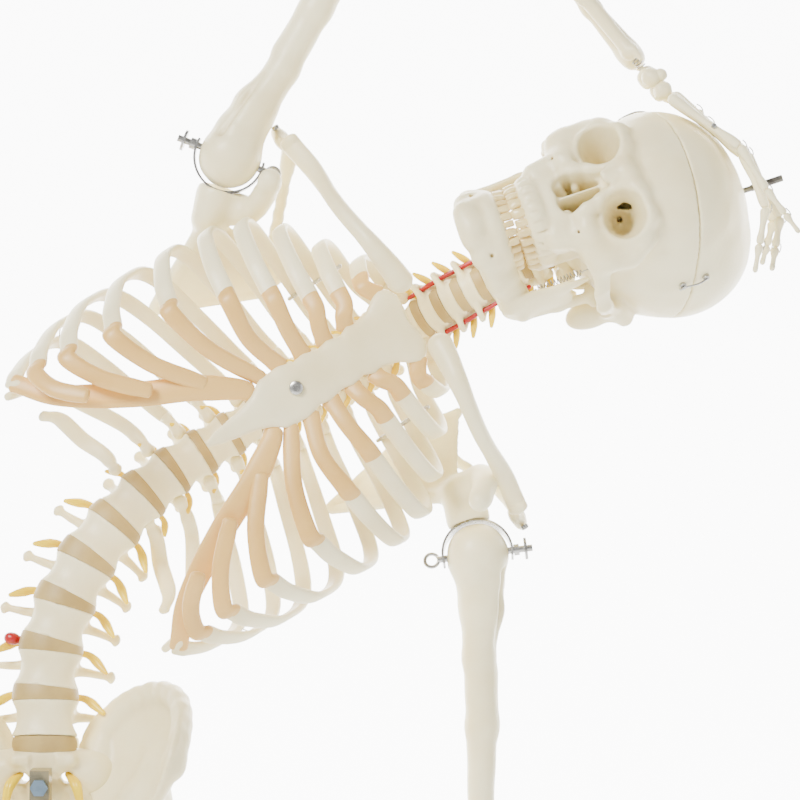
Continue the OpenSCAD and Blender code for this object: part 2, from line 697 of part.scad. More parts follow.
module shank(s) {
    k = flip(knee_at, s);
    a = flip(ankle_at, s);
    color(bone) {
        difference() {
            union() {
                translate(k - [0, 0, 36]) cylinder(h = 15.4, r1 = 27, r2 = 30);
                rod(k - [0, 0, 36], k - [0, 0, 90], 24, 13);
                rod(k - [0, 0, 89.9], a + [0, 0, 40], 13, 11);
                rod(a + [0, 0, 40.1], a + [0, 0, 4], 11, 19);
                translate(k - [6, 6, 26]) cube([12, 12, 20]);
                translate(k) rotate([0, 90, 0]) cylinder(h = 12, r = 9.5, center = true);
            }
            translate(k) rotate([0, 90, 0]) cylinder(h = 40, r = 3 + run_gap, center = true);
            translate(a) rotate([0, 90, 0]) cylinder(h = 60, r = 15 + loose_gap, center = true);
        }
        rod(k + [s * 38, 10, -44], a + [s * 29, 6, 20], 6, 5);
        rod(a + [s * 29, 6, 21], a + [s * 27, 2, -14], 7.5, 6);
    }
}

module foot(s) {
    a = flip(ankle_at, s);
    color(bone) {
        translate(a) rotate([0, 90, 0]) cylinder(h = 36, r = 15, center = true);
        rod(a + [0, -8, -12], a + [s * 2, 42, -46], 18, 17);
        translate(a + [s * 2, 42, -46]) sphere(r = 18);
        rod(a + [0, 6, -22], a + [0, -46, -38], 17, 19);
        for (k = [0 : 4]) {
            x = -s * (18 - k * 10);
            root = a + [x * 0.8, -46, -42 - abs(k - 1)];
            ball = a + [x * 1.6, -104 + k * 6, -57 + (k == 0 ? 1 : 0)];
            tip = ball + [x * 0.15, -46 + k * 4, -1];
            rod(root, ball, k == 0 ? 9 : 6.5, k == 0 ? 9 : 6);
            rod(ball - [0, -2, 0], tip, k == 0 ? 8 : 5.4, k == 0 ? 6 : 4);
        }
    }
}

// ---- vertebra groups --------------------------------------------------------

module vertebrae(from, to) {
    for (i = [from : to]) vertebra(i);
}

module discs(from, to) {
    for (i = [from : to]) disc(i);
}

// ---- the parts ---------------------------------------------------------------

base_legs();
base_feet();
stand_pole();
pelvic_bracket();
bracket_bolt();
sacrum();
hip_bone(1);  // left_hip_bone
hip_bone(-1);  // right_hip_bone
vertebrae(0, 1);  // lower_lumbar_vertebrae
pelvic_discs();
lower_nerve_roots();
vertebrae(2, 4);  // lumbar_vertebrae
union() {  // lumbar_discs
    discs(2, 3);
    disc(4, true);
}
nerve_roots(2, 4);  // lumbar_nerve_roots
slipped_disc();
vertebrae(5, 16);  // thoracic_vertebrae
union() {  // thoracic_discs
    discs(5, 15);
    disc(neck_from - 1, true);
}
nerve_roots(5, 16);  // thoracic_nerve_roots
ribs(1);  // left_ribs
ribs(-1);  // right_ribs
sternum();
cartilages(1);  // left_costal_cartilages
cartilages(-1);  // right_costal_cartilages
clavicle(1);  // left_clavicle
clavicle(-1);  // right_clavicle
scapula(1);  // left_scapula
scapula(-1);  // right_scapula
thorax_screws();
vertebrae(neck_from, 23);  // cervical_vertebrae
discs(neck_from, 22);  // cervical_discs
nerve_roots(neck_from, 22);  // cervical_nerve_roots
vertebral_arteries();
cranium();
upper_teeth();
calvarium();
suspension_pins();
mandible();
lower_teeth();
jaw_springs();
yoke(1);  // left_shoulder_yoke
yoke(-1);  // right_shoulder_yoke
stud(1);  // left_shoulder_stud
stud(-1);  // right_shoulder_stud
humerus(1);  // left_humerus
humerus(-1);  // right_humerus
elbow_pin(1);  // left_elbow_pin
elbow_pin(-1);  // right_elbow_pin
forearm(1);  // left_forearm
forearm(-1);  // right_forearm
hand(1);  // left_hand
hand(-1);  // right_hand
femur(1);  // left_femur
femur(-1);  // right_femur
leg_pins(1);  // left_leg_pins
leg_pins(-1);  // right_leg_pins
shank(1);  // left_shank
shank(-1);  // right_shank
foot(1);  // left_foot
foot(-1);  // right_foot
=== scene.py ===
import math

import bpy
import numpy as np
import openvdb
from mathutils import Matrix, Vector


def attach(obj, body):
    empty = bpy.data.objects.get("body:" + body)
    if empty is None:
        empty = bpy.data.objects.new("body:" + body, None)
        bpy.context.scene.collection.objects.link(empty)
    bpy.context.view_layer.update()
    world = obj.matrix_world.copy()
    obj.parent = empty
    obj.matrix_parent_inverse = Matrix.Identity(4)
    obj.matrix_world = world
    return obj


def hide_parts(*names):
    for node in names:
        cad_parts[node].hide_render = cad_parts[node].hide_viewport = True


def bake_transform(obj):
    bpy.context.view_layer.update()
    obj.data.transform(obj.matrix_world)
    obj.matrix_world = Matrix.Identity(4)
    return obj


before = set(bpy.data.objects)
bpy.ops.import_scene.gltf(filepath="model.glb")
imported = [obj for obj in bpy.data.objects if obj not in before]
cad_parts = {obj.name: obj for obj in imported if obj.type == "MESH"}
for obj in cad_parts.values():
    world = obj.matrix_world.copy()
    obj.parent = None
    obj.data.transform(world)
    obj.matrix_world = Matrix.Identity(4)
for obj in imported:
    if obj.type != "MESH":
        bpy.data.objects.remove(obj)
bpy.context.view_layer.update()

# Lengths below are in millimetres, in the frame's own axes: +X is the figure's
# left, +Y its back and +Z up. They become metres when a piece is made.
MM = 0.001

# ---- vectors, frames and curves ---------------------------------------------


def vec(*p):
    return np.array(p, float)


def unit(v):
    v = np.asarray(v, float)
    return v / np.linalg.norm(v)


def lerp(a, b, t):
    return a + (b - a) * t


def table_at(x, rows):
    """The value at x in a list of [x, value] rows, straight between rows."""
    return float(np.interp(x, [r[0] for r in rows], [r[1] for r in rows]))


def axes_frame(at, x, y, z):
    m = np.eye(4)
    m[:3, 0], m[:3, 1], m[:3, 2], m[:3, 3] = x, y, z, at
    return m


def place(at, z, x):
    """A frame at a point with its +Z along z and its +X close to x."""
    w = unit(z)
    v = unit(np.cross(w, x))
    return axes_frame(at, np.cross(v, w), v, w)


def turn_x(deg):
    c, s = math.cos(math.radians(deg)), math.sin(math.radians(deg))
    return axes_frame(vec(0, 0, 0), vec(1, 0, 0), vec(0, c, s), vec(0, -s, c))


def turn_y(deg):
    c, s = math.cos(math.radians(deg)), math.sin(math.radians(deg))
    return axes_frame(vec(0, 0, 0), vec(c, 0, -s), vec(0, 1, 0), vec(s, 0, c))


def turn_z(deg):
    c, s = math.cos(math.radians(deg)), math.sin(math.radians(deg))
    return axes_frame(vec(0, 0, 0), vec(c, s, 0), vec(-s, c, 0), vec(0, 0, 1))


def shift(p):
    return axes_frame(p, vec(1, 0, 0), vec(0, 1, 0), vec(0, 0, 1))


def moved(points, m):
    return np.asarray(points, float) @ m[:3, :3].T + m[:3, 3]


def mirrored(points, side):
    return np.asarray(points, float) * np.array([side, 1, 1])


def mirror_skin(skin):
    """A clay skin mirrored left to right, still facing outward."""
    points, quads = skin
    return points * vec(-1, 1, 1), quads[:, ::-1]


def smooth_path(points, n):
    """A Catmull-Rom curve through the points, n steps to each span."""
    p = [np.asarray(q, float) for q in points]
    p = [2 * p[0] - p[1]] + p + [2 * p[-1] - p[-2]]
    out = []
    for i in range(1, len(p) - 2):
        a, b, c, d = p[i - 1], p[i], p[i + 1], p[i + 2]
        for t in np.arange(n) / n:
            out.append(0.5 * (2 * b + (c - a) * t + (2 * a - 5 * b + 4 * c - d) * t * t
                              + (3 * b - a - 3 * c + d) * t ** 3))
    return np.array(out + [p[-2]])


# ---- modelling in clay: a field of distances, cut to a skin at zero -----------


def soft_min(a, b, k):
    h = np.clip(0.5 + 0.5 * (b - a) / k, 0, 1)
    return b + (a - b) * h - k * h * (1 - h)


def soft_max(a, b, k):
    return -soft_min(-a, -b, k)


class Clay:
    """Shapes added to and cut from one block, each blended over k millimetres."""

    def __init__(self, low, high, step):
        self.low = np.array(low, float)
        self.step = step
        n = np.ceil((np.array(high, float) - self.low) / step).astype(int) + 1
        self.axis = [(self.low[k] + step * np.arange(n[k])).astype(np.float32)
                     for k in range(3)]
        self.d = np.full(n, 50.0, np.float32)

    def block(self, low, high):
        cut = []
        for k in range(3):
            a = int(np.searchsorted(self.axis[k], low[k]))
            b = int(np.searchsorted(self.axis[k], high[k]))
            cut.append(slice(a, max(b, a)))
        x = self.axis[0][cut[0]][:, None, None]
        y = self.axis[1][cut[1]][None, :, None]
        z = self.axis[2][cut[2]][None, None, :]
        return tuple(cut), x, y, z

    def apply(self, cut, d, k, remove):
        old = self.d[cut]
        if not old.size:
            return
        self.d[cut] = soft_max(old, -d, k) if remove else soft_min(old, d, k)

    def rod(self, a, b, ra, rb=None, k=3.0, remove=False, squash=None):
        """A tapered rod with round ends; squash is (direction, factor under 1)."""
        a, b = np.asarray(a, float), np.asarray(b, float)
        rb = ra if rb is None else rb
        pad = max(ra, rb) + k + 2 * self.step
        cut, x, y, z = self.block(np.minimum(a, b) - pad, np.maximum(a, b) + pad)
        px, py, pz = x - a[0], y - a[1], z - a[2]
        ab = b - a
        t = np.clip((px * ab[0] + py * ab[1] + pz * ab[2]) / max(ab @ ab, 1e-6), 0, 1)
        qx, qy, qz = px - t * ab[0], py - t * ab[1], pz - t * ab[2]
        length2 = qx * qx + qy * qy + qz * qz
        if squash:
            n, f = unit(squash[0]), squash[1]
            along = qx * n[0] + qy * n[1] + qz * n[2]
            length2 = length2 + along * along * (1 / (f * f) - 1)
        self.apply(cut, np.sqrt(length2) - (ra + (rb - ra) * t), k, remove)

    def chain(self, points, radii, k=3.0, remove=False, squash=None):
        for i in range(len(points) - 1):
            ra = radii[i] if hasattr(radii, "__len__") else radii
            rb = radii[i + 1] if hasattr(radii, "__len__") else radii
            self.rod(points[i], points[i + 1], ra, rb, k, remove, squash)

    def ball(self, at, radii, k=4.0, remove=False, turn=None):
        """An ellipsoid; turn is a 3x3 whose columns are its own axes."""
        radii = np.array(radii if hasattr(radii, "__len__") else [radii] * 3, float)
        pad = radii.max() + k + 2 * self.step
        cut, x, y, z = self.block(np.asarray(at) - pad, np.asarray(at) + pad)
        px, py, pz = x - at[0], y - at[1], z - at[2]
        if turn is not None:
            px, py, pz = [px * turn[0][c] + py * turn[1][c] + pz * turn[2][c] for c in range(3)]
        k0 = np.sqrt((px / radii[0]) ** 2 + (py / radii[1]) ** 2 + (pz / radii[2]) ** 2)
        k1 = np.sqrt((px / radii[0] ** 2) ** 2 + (py / radii[1] ** 2) ** 2
                     + (pz / radii[2] ** 2) ** 2)
        self.apply(cut, k0 * (k0 - 1) / np.maximum(k1, 1e-6), k, remove)

    def slab(self, at, half, r, k=3.0, remove=False, turn=None):
        """A box with rounded edges; half is its half size on its own axes."""
        half = np.array(half, float)
        pad = np.linalg.norm(half) + k + 2 * self.step
        cut, x, y, z = self.block(np.asarray(at) - pad, np.asarray(at) + pad)
        px, py, pz = x - at[0], y - at[1], z - at[2]
        if turn is not None:
            px, py, pz = [px * turn[0][c] + py * turn[1][c] + pz * turn[2][c] for c in range(3)]
        gx, gy, gz = [np.abs(p) - (half[c] - r) for c, p in enumerate((px, py, pz))]
        out = np.sqrt(np.maximum(gx, 0) ** 2 + np.maximum(gy, 0) ** 2 + np.maximum(gz, 0) ** 2)
        inner = np.minimum(np.maximum(gx, np.maximum(gy, gz)), 0)
        self.apply(cut, out + inner - r, k, remove)

    def field(self, low, high, func, k=2.0, remove=False):
        cut, x, y, z = self.block(low, high)
        self.apply(cut, func(x, y, z), k, remove)

    def ripple(self, amount, size):
        """A gentle unevenness, as a moulded bone has."""
        x, y, z = [a * (2 * math.pi / size) for a in self.axis]
        wave = (np.sin(x + 0.6 * np.sin(1.3 * x))[:, None, None]
                * np.sin(y + 1.1)[None, :, None] * np.sin(z * 0.9 + 2.0)[None, None, :])
        self.d += (amount * wave).astype(np.float32)

    def skin(self, m=None):
        """(points, quads) of the surface, moved by the frame m."""
        for k in range(3):
            edge = [slice(None)] * 3
            for end in (0, -1):
                edge[k] = end
                self.d[tuple(edge)] = np.maximum(self.d[tuple(edge)], self.step)
        grid = openvdb.FloatGrid()
        grid.background = 50.0
        grid.copyFromArray(np.ascontiguousarray(self.d))
        points, quads = grid.convertToQuads(0.0)
        points = points * self.step + self.low
        quads = quads.astype(np.int64)
        a, b, c = points[quads[:, 0]], points[quads[:, 1]], points[quads[:, 2]]
        d = points[quads[:, 3]]
        volume = (np.einsum("ij,ij->i", a, np.cross(b, c)).sum()
                  + np.einsum("ij,ij->i", a, np.cross(c, d)).sum())
        if volume < 0:
            quads = quads[:, ::-1]
        if m is not None:
            points = moved(points, m)
            if np.linalg.det(m[:3, :3]) < 0:
                quads = quads[:, ::-1]
        return points, quads


# ---- swept and round meshes --------------------------------------------------


def sweep(path, wide, thick, up, sides=14, square=2.0):
    """A bar swept along a path, with rounded ends. wide lies along up; wide and
    thick are full sizes, each a number or [place 0..1, size] rows."""
    path = np.asarray(path, float)
    n = len(path)
    far = np.r_[0, np.cumsum(np.linalg.norm(np.diff(path, axis=0), axis=1))]
    far = far / far[-1]
    rows = []
    ups = np.asarray(up, float)
    for i in range(n):
        t = unit(path[min(i + 1, n - 1)] - path[max(i - 1, 0)])
        u = ups[i] if ups.ndim == 2 else ups
        a = unit(np.cross(t, u))
        b = np.cross(a, t)
        w = (table_at(far[i], wide) if isinstance(wide, list) else wide) / 2
        h = (table_at(far[i], thick) if isinstance(thick, list) else thick) / 2
        rows.append((path[i], a, b, t, w, h))
    caps = [(0.35, 0.94), (0.7, 0.72), (0.93, 0.38)]
    first = [(p - t * min(w, h) * o, a, b, t, w * s, h * s)
             for (p, a, b, t, w, h) in [rows[0]] for o, s in reversed(caps)]
    last = [(p + t * min(w, h) * o, a, b, t, w * s, h * s)
            for (p, a, b, t, w, h) in [rows[-1]] for o, s in caps]
    rows = first + rows + last
    angle = 2 * math.pi * np.arange(sides) / sides
    c = np.sign(np.cos(angle)) * np.abs(np.cos(angle)) ** (2 / square)
    s = np.sign(np.sin(angle)) * np.abs(np.sin(angle)) ** (2 / square)
    rings = [p + np.outer(c, a) * h + np.outer(s, b) * w for p, a, b, t, w, h in rows]
    return close_rings(rings)


def close_rings(rings):
    """(points, faces) of a tube through rings of equal size, closed at both ends."""
    sides = len(rings[0])
    points = np.vstack(rings + [np.mean(rings[0], axis=0)[None], np.mean(rings[-1], axis=0)[None]])
    j = np.arange(sides)
    k = (j + 1) % sides
    quads = np.vstack([np.stack([i * sides + j, i * sides + k, (i + 1) * sides + k,
                                 (i + 1) * sides + j], 1) for i in range(len(rings) - 1)])
    end = len(rings) * sides
    top = (len(rings) - 1) * sides
    tips = np.vstack([np.stack([k, j, np.full(sides, end), np.full(sides, -1)], 1),
                      np.stack([top + j, top + k, np.full(sides, end + 1),
                                np.full(sides, -1)], 1)])
    return outward(points, np.vstack([quads, tips]))


def outward(points, faces):
    tri = faces[:, :3]
    a, b, c = points[tri[:, 0]], points[tri[:, 1]], points[tri[:, 2]]
    middle = points.mean(axis=0)
    volume = np.einsum("ij,ij->i", a - middle, np.cross(b - middle, c - middle)).sum()
    if volume >= 0:
        return points, faces
    flipped = faces[:, ::-1].copy()
    three = faces[:, 3] < 0
    flipped[three] = np.stack([faces[three, 2], faces[three, 1], faces[three, 0],
                               faces[three, 3]], 1)
    return points, flipped


def pebble(at, radii, turn=None, square=2.4, n=12):
    """A rounded lump, such as a wrist bone or a tooth."""
    rings = []
    for i in range(1, n):
        u = math.pi * i / n
        z, r = math.cos(u), math.sin(u)
        z = math.copysign(abs(z) ** (2 / square), z)
        r = r ** (2 / square)
        a = 2 * math.pi * np.arange(16) / 16
        c = np.sign(np.cos(a)) * np.abs(np.cos(a)) ** (2 / square)
        s = np.sign(np.sin(a)) * np.abs(np.sin(a)) ** (2 / square)
        rings.append(np.stack([c * r * radii[0], s * r * radii[1],
                               np.full(16, z * radii[2])], 1))
    m = np.eye(3) if turn is None else np.asarray(turn)[:3, :3]
    return close_rings([ring @ m.T + np.asarray(at) for ring in rings])


def long_bone(a, b, root, waist, head, up, flat=0.85):
    """A finger or toe bone between two joints, waisted in the middle."""
    a, b = np.asarray(a, float), np.asarray(b, float)
    path = smooth_path([a, lerp(a, b, 0.35), lerp(a, b, 0.65), b], 4)
    size = [[0, root], [0.12, root * 0.92], [0.4, waist], [0.7, waist], [0.9, head * 0.95],
            [1, head * 0.9]]
    return sweep(path, size, [[r[0], r[1] * flat] for r in size], up, 12, 2.3)


# ---- pieces -------------------------------------------------------------------


def make(name, body, parts, material, nodes=(), smooth=38):
    """One object from (points in millimetres, faces) parts, riding on a body."""
    points, loops, sizes, base = [], [], [], 0
    for p, f in parts:
        points.append(p)
        f = np.asarray(f)
        three = (f[:, 3] < 0) if f.shape[1] == 4 else np.ones(len(f), bool)
        count = np.where(three, 3, 4)
        flat = f[np.arange(f.shape[1])[None, :] < count[:, None]]
        loops.append(flat + base)
        sizes.append(count)
        base += len(p)
    points = np.vstack(points) * MM
    loops = np.concatenate(loops)
    sizes = np.concatenate(sizes)
    mesh = bpy.data.meshes.new(name)
    mesh.vertices.add(len(points))
    mesh.vertices.foreach_set("co", points.astype(np.float32).ravel())
    mesh.loops.add(len(loops))
    mesh.loops.foreach_set("vertex_index", loops.astype(np.int32))
    mesh.polygons.add(len(sizes))
    mesh.polygons.foreach_set("loop_start", np.r_[0, np.cumsum(sizes)[:-1]].astype(np.int32))
    mesh.update(calc_edges=True)
    mesh.validate()
    mesh.polygons.foreach_set("use_smooth", np.ones(len(mesh.polygons), bool))
    mesh.materials.append(material)
    if smooth:
        mesh.set_sharp_from_angle(angle=math.radians(smooth))
    piece = bpy.data.objects.new(name, mesh)
    bpy.context.scene.collection.objects.link(piece)
    if body:
        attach(piece, body)
    if nodes:
        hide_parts(*nodes)
    return piece


# ---- materials ------------------------------------------------------------------


def material(name, color, rough, dark=None, grain=0.0, grain_size=120.0, blotch=6.0,
             metal=0.0, sheen=0.0, scatter=0.0, painted_crease_shade=0.0, coat=0.0):
    """A mottled colour, with painted shade darkening it in creases, and a fine bump."""
    m = bpy.data.materials.new(name)
    m.use_nodes = True
    nodes, links = m.node_tree.nodes, m.node_tree.links
    shader = nodes["Principled BSDF"]
    shader.inputs["Metallic"].default_value = metal
    shader.inputs["Coat Weight"].default_value = coat
    shader.inputs["Coat Roughness"].default_value = 0.25
    shader.inputs["Sheen Weight"].default_value = sheen
    if scatter:
        shader.inputs["Subsurface Weight"].default_value = scatter
        shader.inputs["Subsurface Radius"].default_value = (0.004, 0.0025, 0.0015)
        shader.inputs["Subsurface Scale"].default_value = 1.0
    place_in = nodes.new("ShaderNodeTexCoord")
    spots = nodes.new("ShaderNodeTexNoise")
    spots.inputs["Scale"].default_value = blotch
    spots.inputs["Detail"].default_value = 5
    spots.inputs["Roughness"].default_value = 0.6
    links.new(place_in.outputs["Object"], spots.inputs["Vector"])
    ramp = nodes.new("ShaderNodeValToRGB")
    dark = dark or tuple(c * 0.8 for c in color)
    ramp.color_ramp.elements[0].position = 0.36
    ramp.color_ramp.elements[0].color = (*dark, 1)
    ramp.color_ramp.elements[1].position = 0.56
    ramp.color_ramp.elements[1].color = (*color, 1)
    links.new(spots.outputs["Fac"], ramp.inputs["Fac"])
    out = ramp.outputs["Color"]
    # Painted shade: where the mesh is concave (low Pointiness) the colour is darkened towards a
    # deep brown, standing in for the shadow that falls in creases and hollows.
    if painted_crease_shade:
        geometry = nodes.new("ShaderNodeNewGeometry")
        edge = nodes.new("ShaderNodeMapRange")
        edge.inputs["From Min"].default_value = 0.40
        edge.inputs["From Max"].default_value = 0.51
        edge.inputs["To Min"].default_value = painted_crease_shade
        edge.inputs["To Max"].default_value = 0.0
        links.new(geometry.outputs["Pointiness"], edge.inputs["Value"])
        mix = nodes.new("ShaderNodeMix")
        mix.data_type = "RGBA"
        mix.inputs[7].default_value = (dark[0] * 0.62, dark[1] * 0.55, dark[2] * 0.42, 1)
        links.new(edge.outputs["Result"], mix.inputs[0])
        links.new(out, mix.inputs[6])
        out = mix.outputs[2]
    links.new(out, shader.inputs["Base Color"])
    fine = nodes.new("ShaderNodeTexNoise")
    fine.inputs["Scale"].default_value = grain_size
    fine.inputs["Detail"].default_value = 6
    links.new(place_in.outputs["Object"], fine.inputs["Vector"])
    gloss = nodes.new("ShaderNodeMapRange")
    gloss.inputs["To Min"].default_value = rough - 0.07
    gloss.inputs["To Max"].default_value = rough + 0.07
    links.new(fine.outputs["Fac"], gloss.inputs["Value"])
    links.new(gloss.outputs["Result"], shader.inputs["Roughness"])
    if grain:
        bump = nodes.new("ShaderNodeBump")
        bump.inputs["Strength"].default_value = 0.5
        bump.inputs["Distance"].default_value = grain
        links.new(fine.outputs["Fac"], bump.inputs["Height"])
        links.new(bump.outputs["Normal"], shader.inputs["Normal"])
    return m


# Bone, teeth, cartilage and disc carry painted shade in their creases, through the Pointiness
# darkening above.
BONE = material("bone_moulding", (0.94, 0.85, 0.54), 0.42, (0.86, 0.74, 0.41), 0.0004,
                260, 9, scatter=0.08, painted_crease_shade=0.7, coat=0.08)
TEETH = material("teeth_enamel", (0.86, 0.68, 0.30), 0.3, (0.66, 0.47, 0.17), 0.0001,
                 300, 40, painted_crease_shade=0.7, coat=0.3)
CARTILAGE = material("cartilage_tan", (0.74, 0.45, 0.125), 0.42, (0.66, 0.385, 0.095), 0.0003,
                     180, 14, scatter=0.08, painted_crease_shade=0.4, coat=0.08)
DISC = material("disc_khaki", (0.47, 0.335, 0.115), 0.5, (0.38, 0.26, 0.08), 0.0004, 200, 25,
                painted_crease_shade=0.3)
NERVE = material("nerve_yellow", (0.93, 0.66, 0.0), 0.38, (0.82, 0.53, 0.0), 0.0002, 150,
                 30, coat=0.2)
RED = material("vessel_red", (0.42, 0.0, 0.0), 0.35, (0.30, 0.0, 0.0), 0.0001, 120, 30,
               coat=0.2)
STEEL = material("plated_steel", (0.55, 0.54, 0.51), 0.28, (0.30, 0.29, 0.26), 0.00008, 400, 60,
                 metal=1.0)
DARK_STEEL = material("dark_steel", (0.20, 0.19, 0.16), 0.38, (0.11, 0.10, 0.09), 0.0001, 400,
                      60, metal=1.0)
ZINC = material("blue_zinc", (0.26, 0.36, 0.46), 0.33, (0.18, 0.25, 0.33), 0.0001, 300, 60,
                metal=0.9)
BRASS = material("worn_bracket", (0.42, 0.36, 0.22), 0.36, (0.24, 0.22, 0.16), 0.0001, 300, 50,
                 metal=1.0)
PAINT = material("base_enamel", (0.045, 0.045, 0.05), 0.4, (0.03, 0.03, 0.034), 0.0002, 500,
                 20, coat=0.3)
RUBBER = material("foot_rubber", (0.02, 0.02, 0.02), 0.75, (0.012, 0.012, 0.012), 0.0004, 500,
                  30)

# ---- the bent spine: 0 is L5, 5 is T12, 17 is C7, 23 is C1 ---------------------

LUMBAR_Z = 1076.0
LEAN = [[0, 0], [1, 6], [4, 38], [7, 57], [10, 60], [16, 58], [23, 67]]
SAG = [[0, 10], [2, 8], [4, 12], [6, 12], [9, 3], [12, -10], [16, -26], [17, -24], [20, -8],
       [23, 6]]
PITCH = [[0, 36], [4, 34], [6, 27], [12, 21], [16, 20], [17, 17], [23, 17]]
DISC_HEIGHT = [[0, 9], [4, 9], [6, 6], [16, 5], [23, 5]]
BODY_WIDE = [[0, 50], [4, 46], [8, 36], [12, 30], [16, 31], [17, 28], [23, 25]]
BODY_DEEP = [[0, 35], [4, 32], [8, 27], [12, 24], [16, 18], [23, 15]]
WING = [[0, 46], [4, 40], [5, 25], [8, 23], [15, 23], [16, 22], [17, 22], [22, 23],
        [23, 35]]
SPIKE = [[0, 26], [4, 28], [6, 24], [12, 26], [17, 27], [19, 13], [22, 15], [23, 2]]
DROOP = [[0, 8], [4, 10], [7, 34], [13, 40], [17, 20], [23, 10]]
NECK_FROM = 17


def heading(i):
    t, s = math.radians(table_at(i, LEAN)), math.radians(table_at(i, SAG))
    return vec(math.sin(t) * math.cos(s), math.sin(s), math.cos(t) * math.cos(s))


def spine_points():
    points = [vec(0, 35, LUMBAR_Z)]
    for i in range(1, 24):
        points.append(points[-1] + table_at(i - 0.5, PITCH) * heading(i - 0.5))
    return points


SPINE = spine_points()


def disc_point(i):
    return (SPINE[i] + SPINE[i + 1]) / 2


def spine_frame(i):
    at = SPINE[int(i)] if i == int(i) else disc_point(int(i))
    return shift(at) @ turn_y(table_at(i, LEAN)) @ turn_x(-table_at(i, SAG))


def body_height(i):
    return table_at(i, PITCH) - table_at(i, DISC_HEIGHT)


def vertebra(i):
    """One vertebra, in clay, in its own frame: +X left, +Y back, +Z up the spine."""
    w, d, h = table_at(i, BODY_WIDE), table_at(i, BODY_DEEP), body_height(i)
    neck = i >= NECK_FROM
    chest = 5 <= i < NECK_FROM
    canal = 7.0 if neck or chest else 9.0
    wing, spike = table_at(i, WING), table_at(i, SPIKE)
    droop = math.radians(table_at(i, DROOP))
    back = d / 2 + canal
    rear = back + canal
    reach = rear + spike + 8
    clay = Clay((-wing - 8, -d / 2 - 5, -h - spike * 0.75), (wing + 8, reach, h + 6),
                1.25 if neck else 1.55)
    waist = 0.1 if neck else 0.19

    def drum(x, y, z):
        t = (2 * z / h) ** 2
        a, b = w / 2 * (1 - waist * (1 - t)), d / 2 * (1 - waist * (1 - t))
        side = (np.sqrt((x / a) ** 2 + (y / b) ** 2) - 1) * b
        dish = 0.8 * np.exp(-(x * x + y * y) / (0.1 * w * w))
        return soft_max(side, np.abs(z) - h / 2 + dish, 1.8)

    if i < 23:
        clay.field((-w / 2 - 4, -d / 2 - 4, -h / 2 - 4), (w / 2 + 4, d / 2 + 4, h / 2 + 4), drum)
        clay.ball((0, back - 0.5, 0), (canal - 0.5, canal - 1.5, h * 2), 2, True)
    for s in (-1, 1):
        pedicle = vec(s * (0.30 if not neck else 0.42) * w, back - 2, 0.14 * h)
        if i == 23:
            pedicle = vec(s * 20, 2, 0)
            clay.ball(pedicle, (8, 11, 6.5), 3)
            clay.chain([vec(s * 20, -4, 0), vec(s * 11, -11, 0), vec(0, -13, 0)], 4.2, 3)
            clay.chain([pedicle, vec(s * 17, 16, 0), vec(0, 25, 0)], [5, 4, 4], 3)
            clay.rod(pedicle, (s * wing, 5, -1), 5, 3.8, 3)
            clay.ball((s * 30, 4, 0), (3.2, 3.2, 12), 2, True)
            continue
        clay.rod((pedicle[0], d / 2 - 4, 0.18 * h), pedicle, 0.2 * h if not neck else 4, k=3)
        clay.rod(pedicle, (s * 2, rear + 1, -0.14 * h), 0.2 * h if not neck else 3.6, 3.4, 3,
                 squash=((0, 1, 0.4), 0.7))
        if neck:
            pillar = vec(s * 0.56 * w, d / 2 + 3, 0)
            clay.rod(pillar + vec(0, 1, -0.42 * h), pillar + vec(0, -1, 0.42 * h), 4.6, 4.8, 3)
            clay.rod((s * 0.42 * w, -d * 0.1, -1), (s * wing, 0, -3), 3.6, 3.0, 2.5,
                     squash=((0, 0, 1), 0.75))
            clay.rod(pillar, (s * wing, 4, -3), 3.4, 2.8, 2.5, squash=((0, 0, 1), 0.75))
            clay.ball((s * 0.66 * w, 2.5, -2), (2.1, 2.1, 10), 1, True)
            clay.rod((s * 0.43 * w, 3, h / 2 - 1), (s * 0.43 * w, -2, h / 2 + 0.5), 1.9, 1.6, 2)
        else:
            top = vec(pedicle[0] * (0.96 if chest else 1.0), back - 0.5, 0)
            clay.rod(pedicle, top + vec(0, 0, 0.72 * h), 4.8, 3.2, 3)
            low = vec(s * 0.22 * w, back + 6.5, 0)
            clay.rod(low, low + vec(0, 1, -0.74 * h), 5.2, 3.4, 3)
            tip = vec(s * wing, back + (8 if chest else 3), 0.22 * h if chest else 0.04 * h)
            clay.rod(pedicle + vec(0, 1, 0), tip, 5.0, 3.8 if chest else 3.0, 4,
                     squash=((0, 0.3, 1), 0.8))
            if chest:
                clay.ball(tip, (4.2, 4.4, 5), 2)
            else:
                clay.ball(tip, (2.6, 3.2, 5.2), 3)
                clay.rod(pedicle, pedicle + vec(s * 5, 5, 0.5 * h), 4, 3, 3)
    if i < 23:
        root = vec(0, rear - 1, -0.05 * h)
        end = vec(0, rear + spike * math.cos(droop), -0.05 * h - spike * math.sin(droop))
        fat = 3.2 if neck else 3.6
        deep = 0.26 * h if not chest else 0.2 * h
        across = unit(vec(0, -(end - root)[2], (end - root)[1]))
        for o in (-deep, 0, deep):
            clay.rod(root + across * o * 0.9, end + across * o, fat, fat * 0.85, 2.2,
                     squash=((1, 0, 0), 0.75))
        clay.ball(end, (3.6, 3.4, deep + 3.4), 2)
    if i == 22:
        clay.rod((0, -1, 0), (0, -1, h * 1.05), 5.4, 4.0, 2.5)
    clay.ripple(0.22, 17)
    return clay.skin(spine_frame(i))


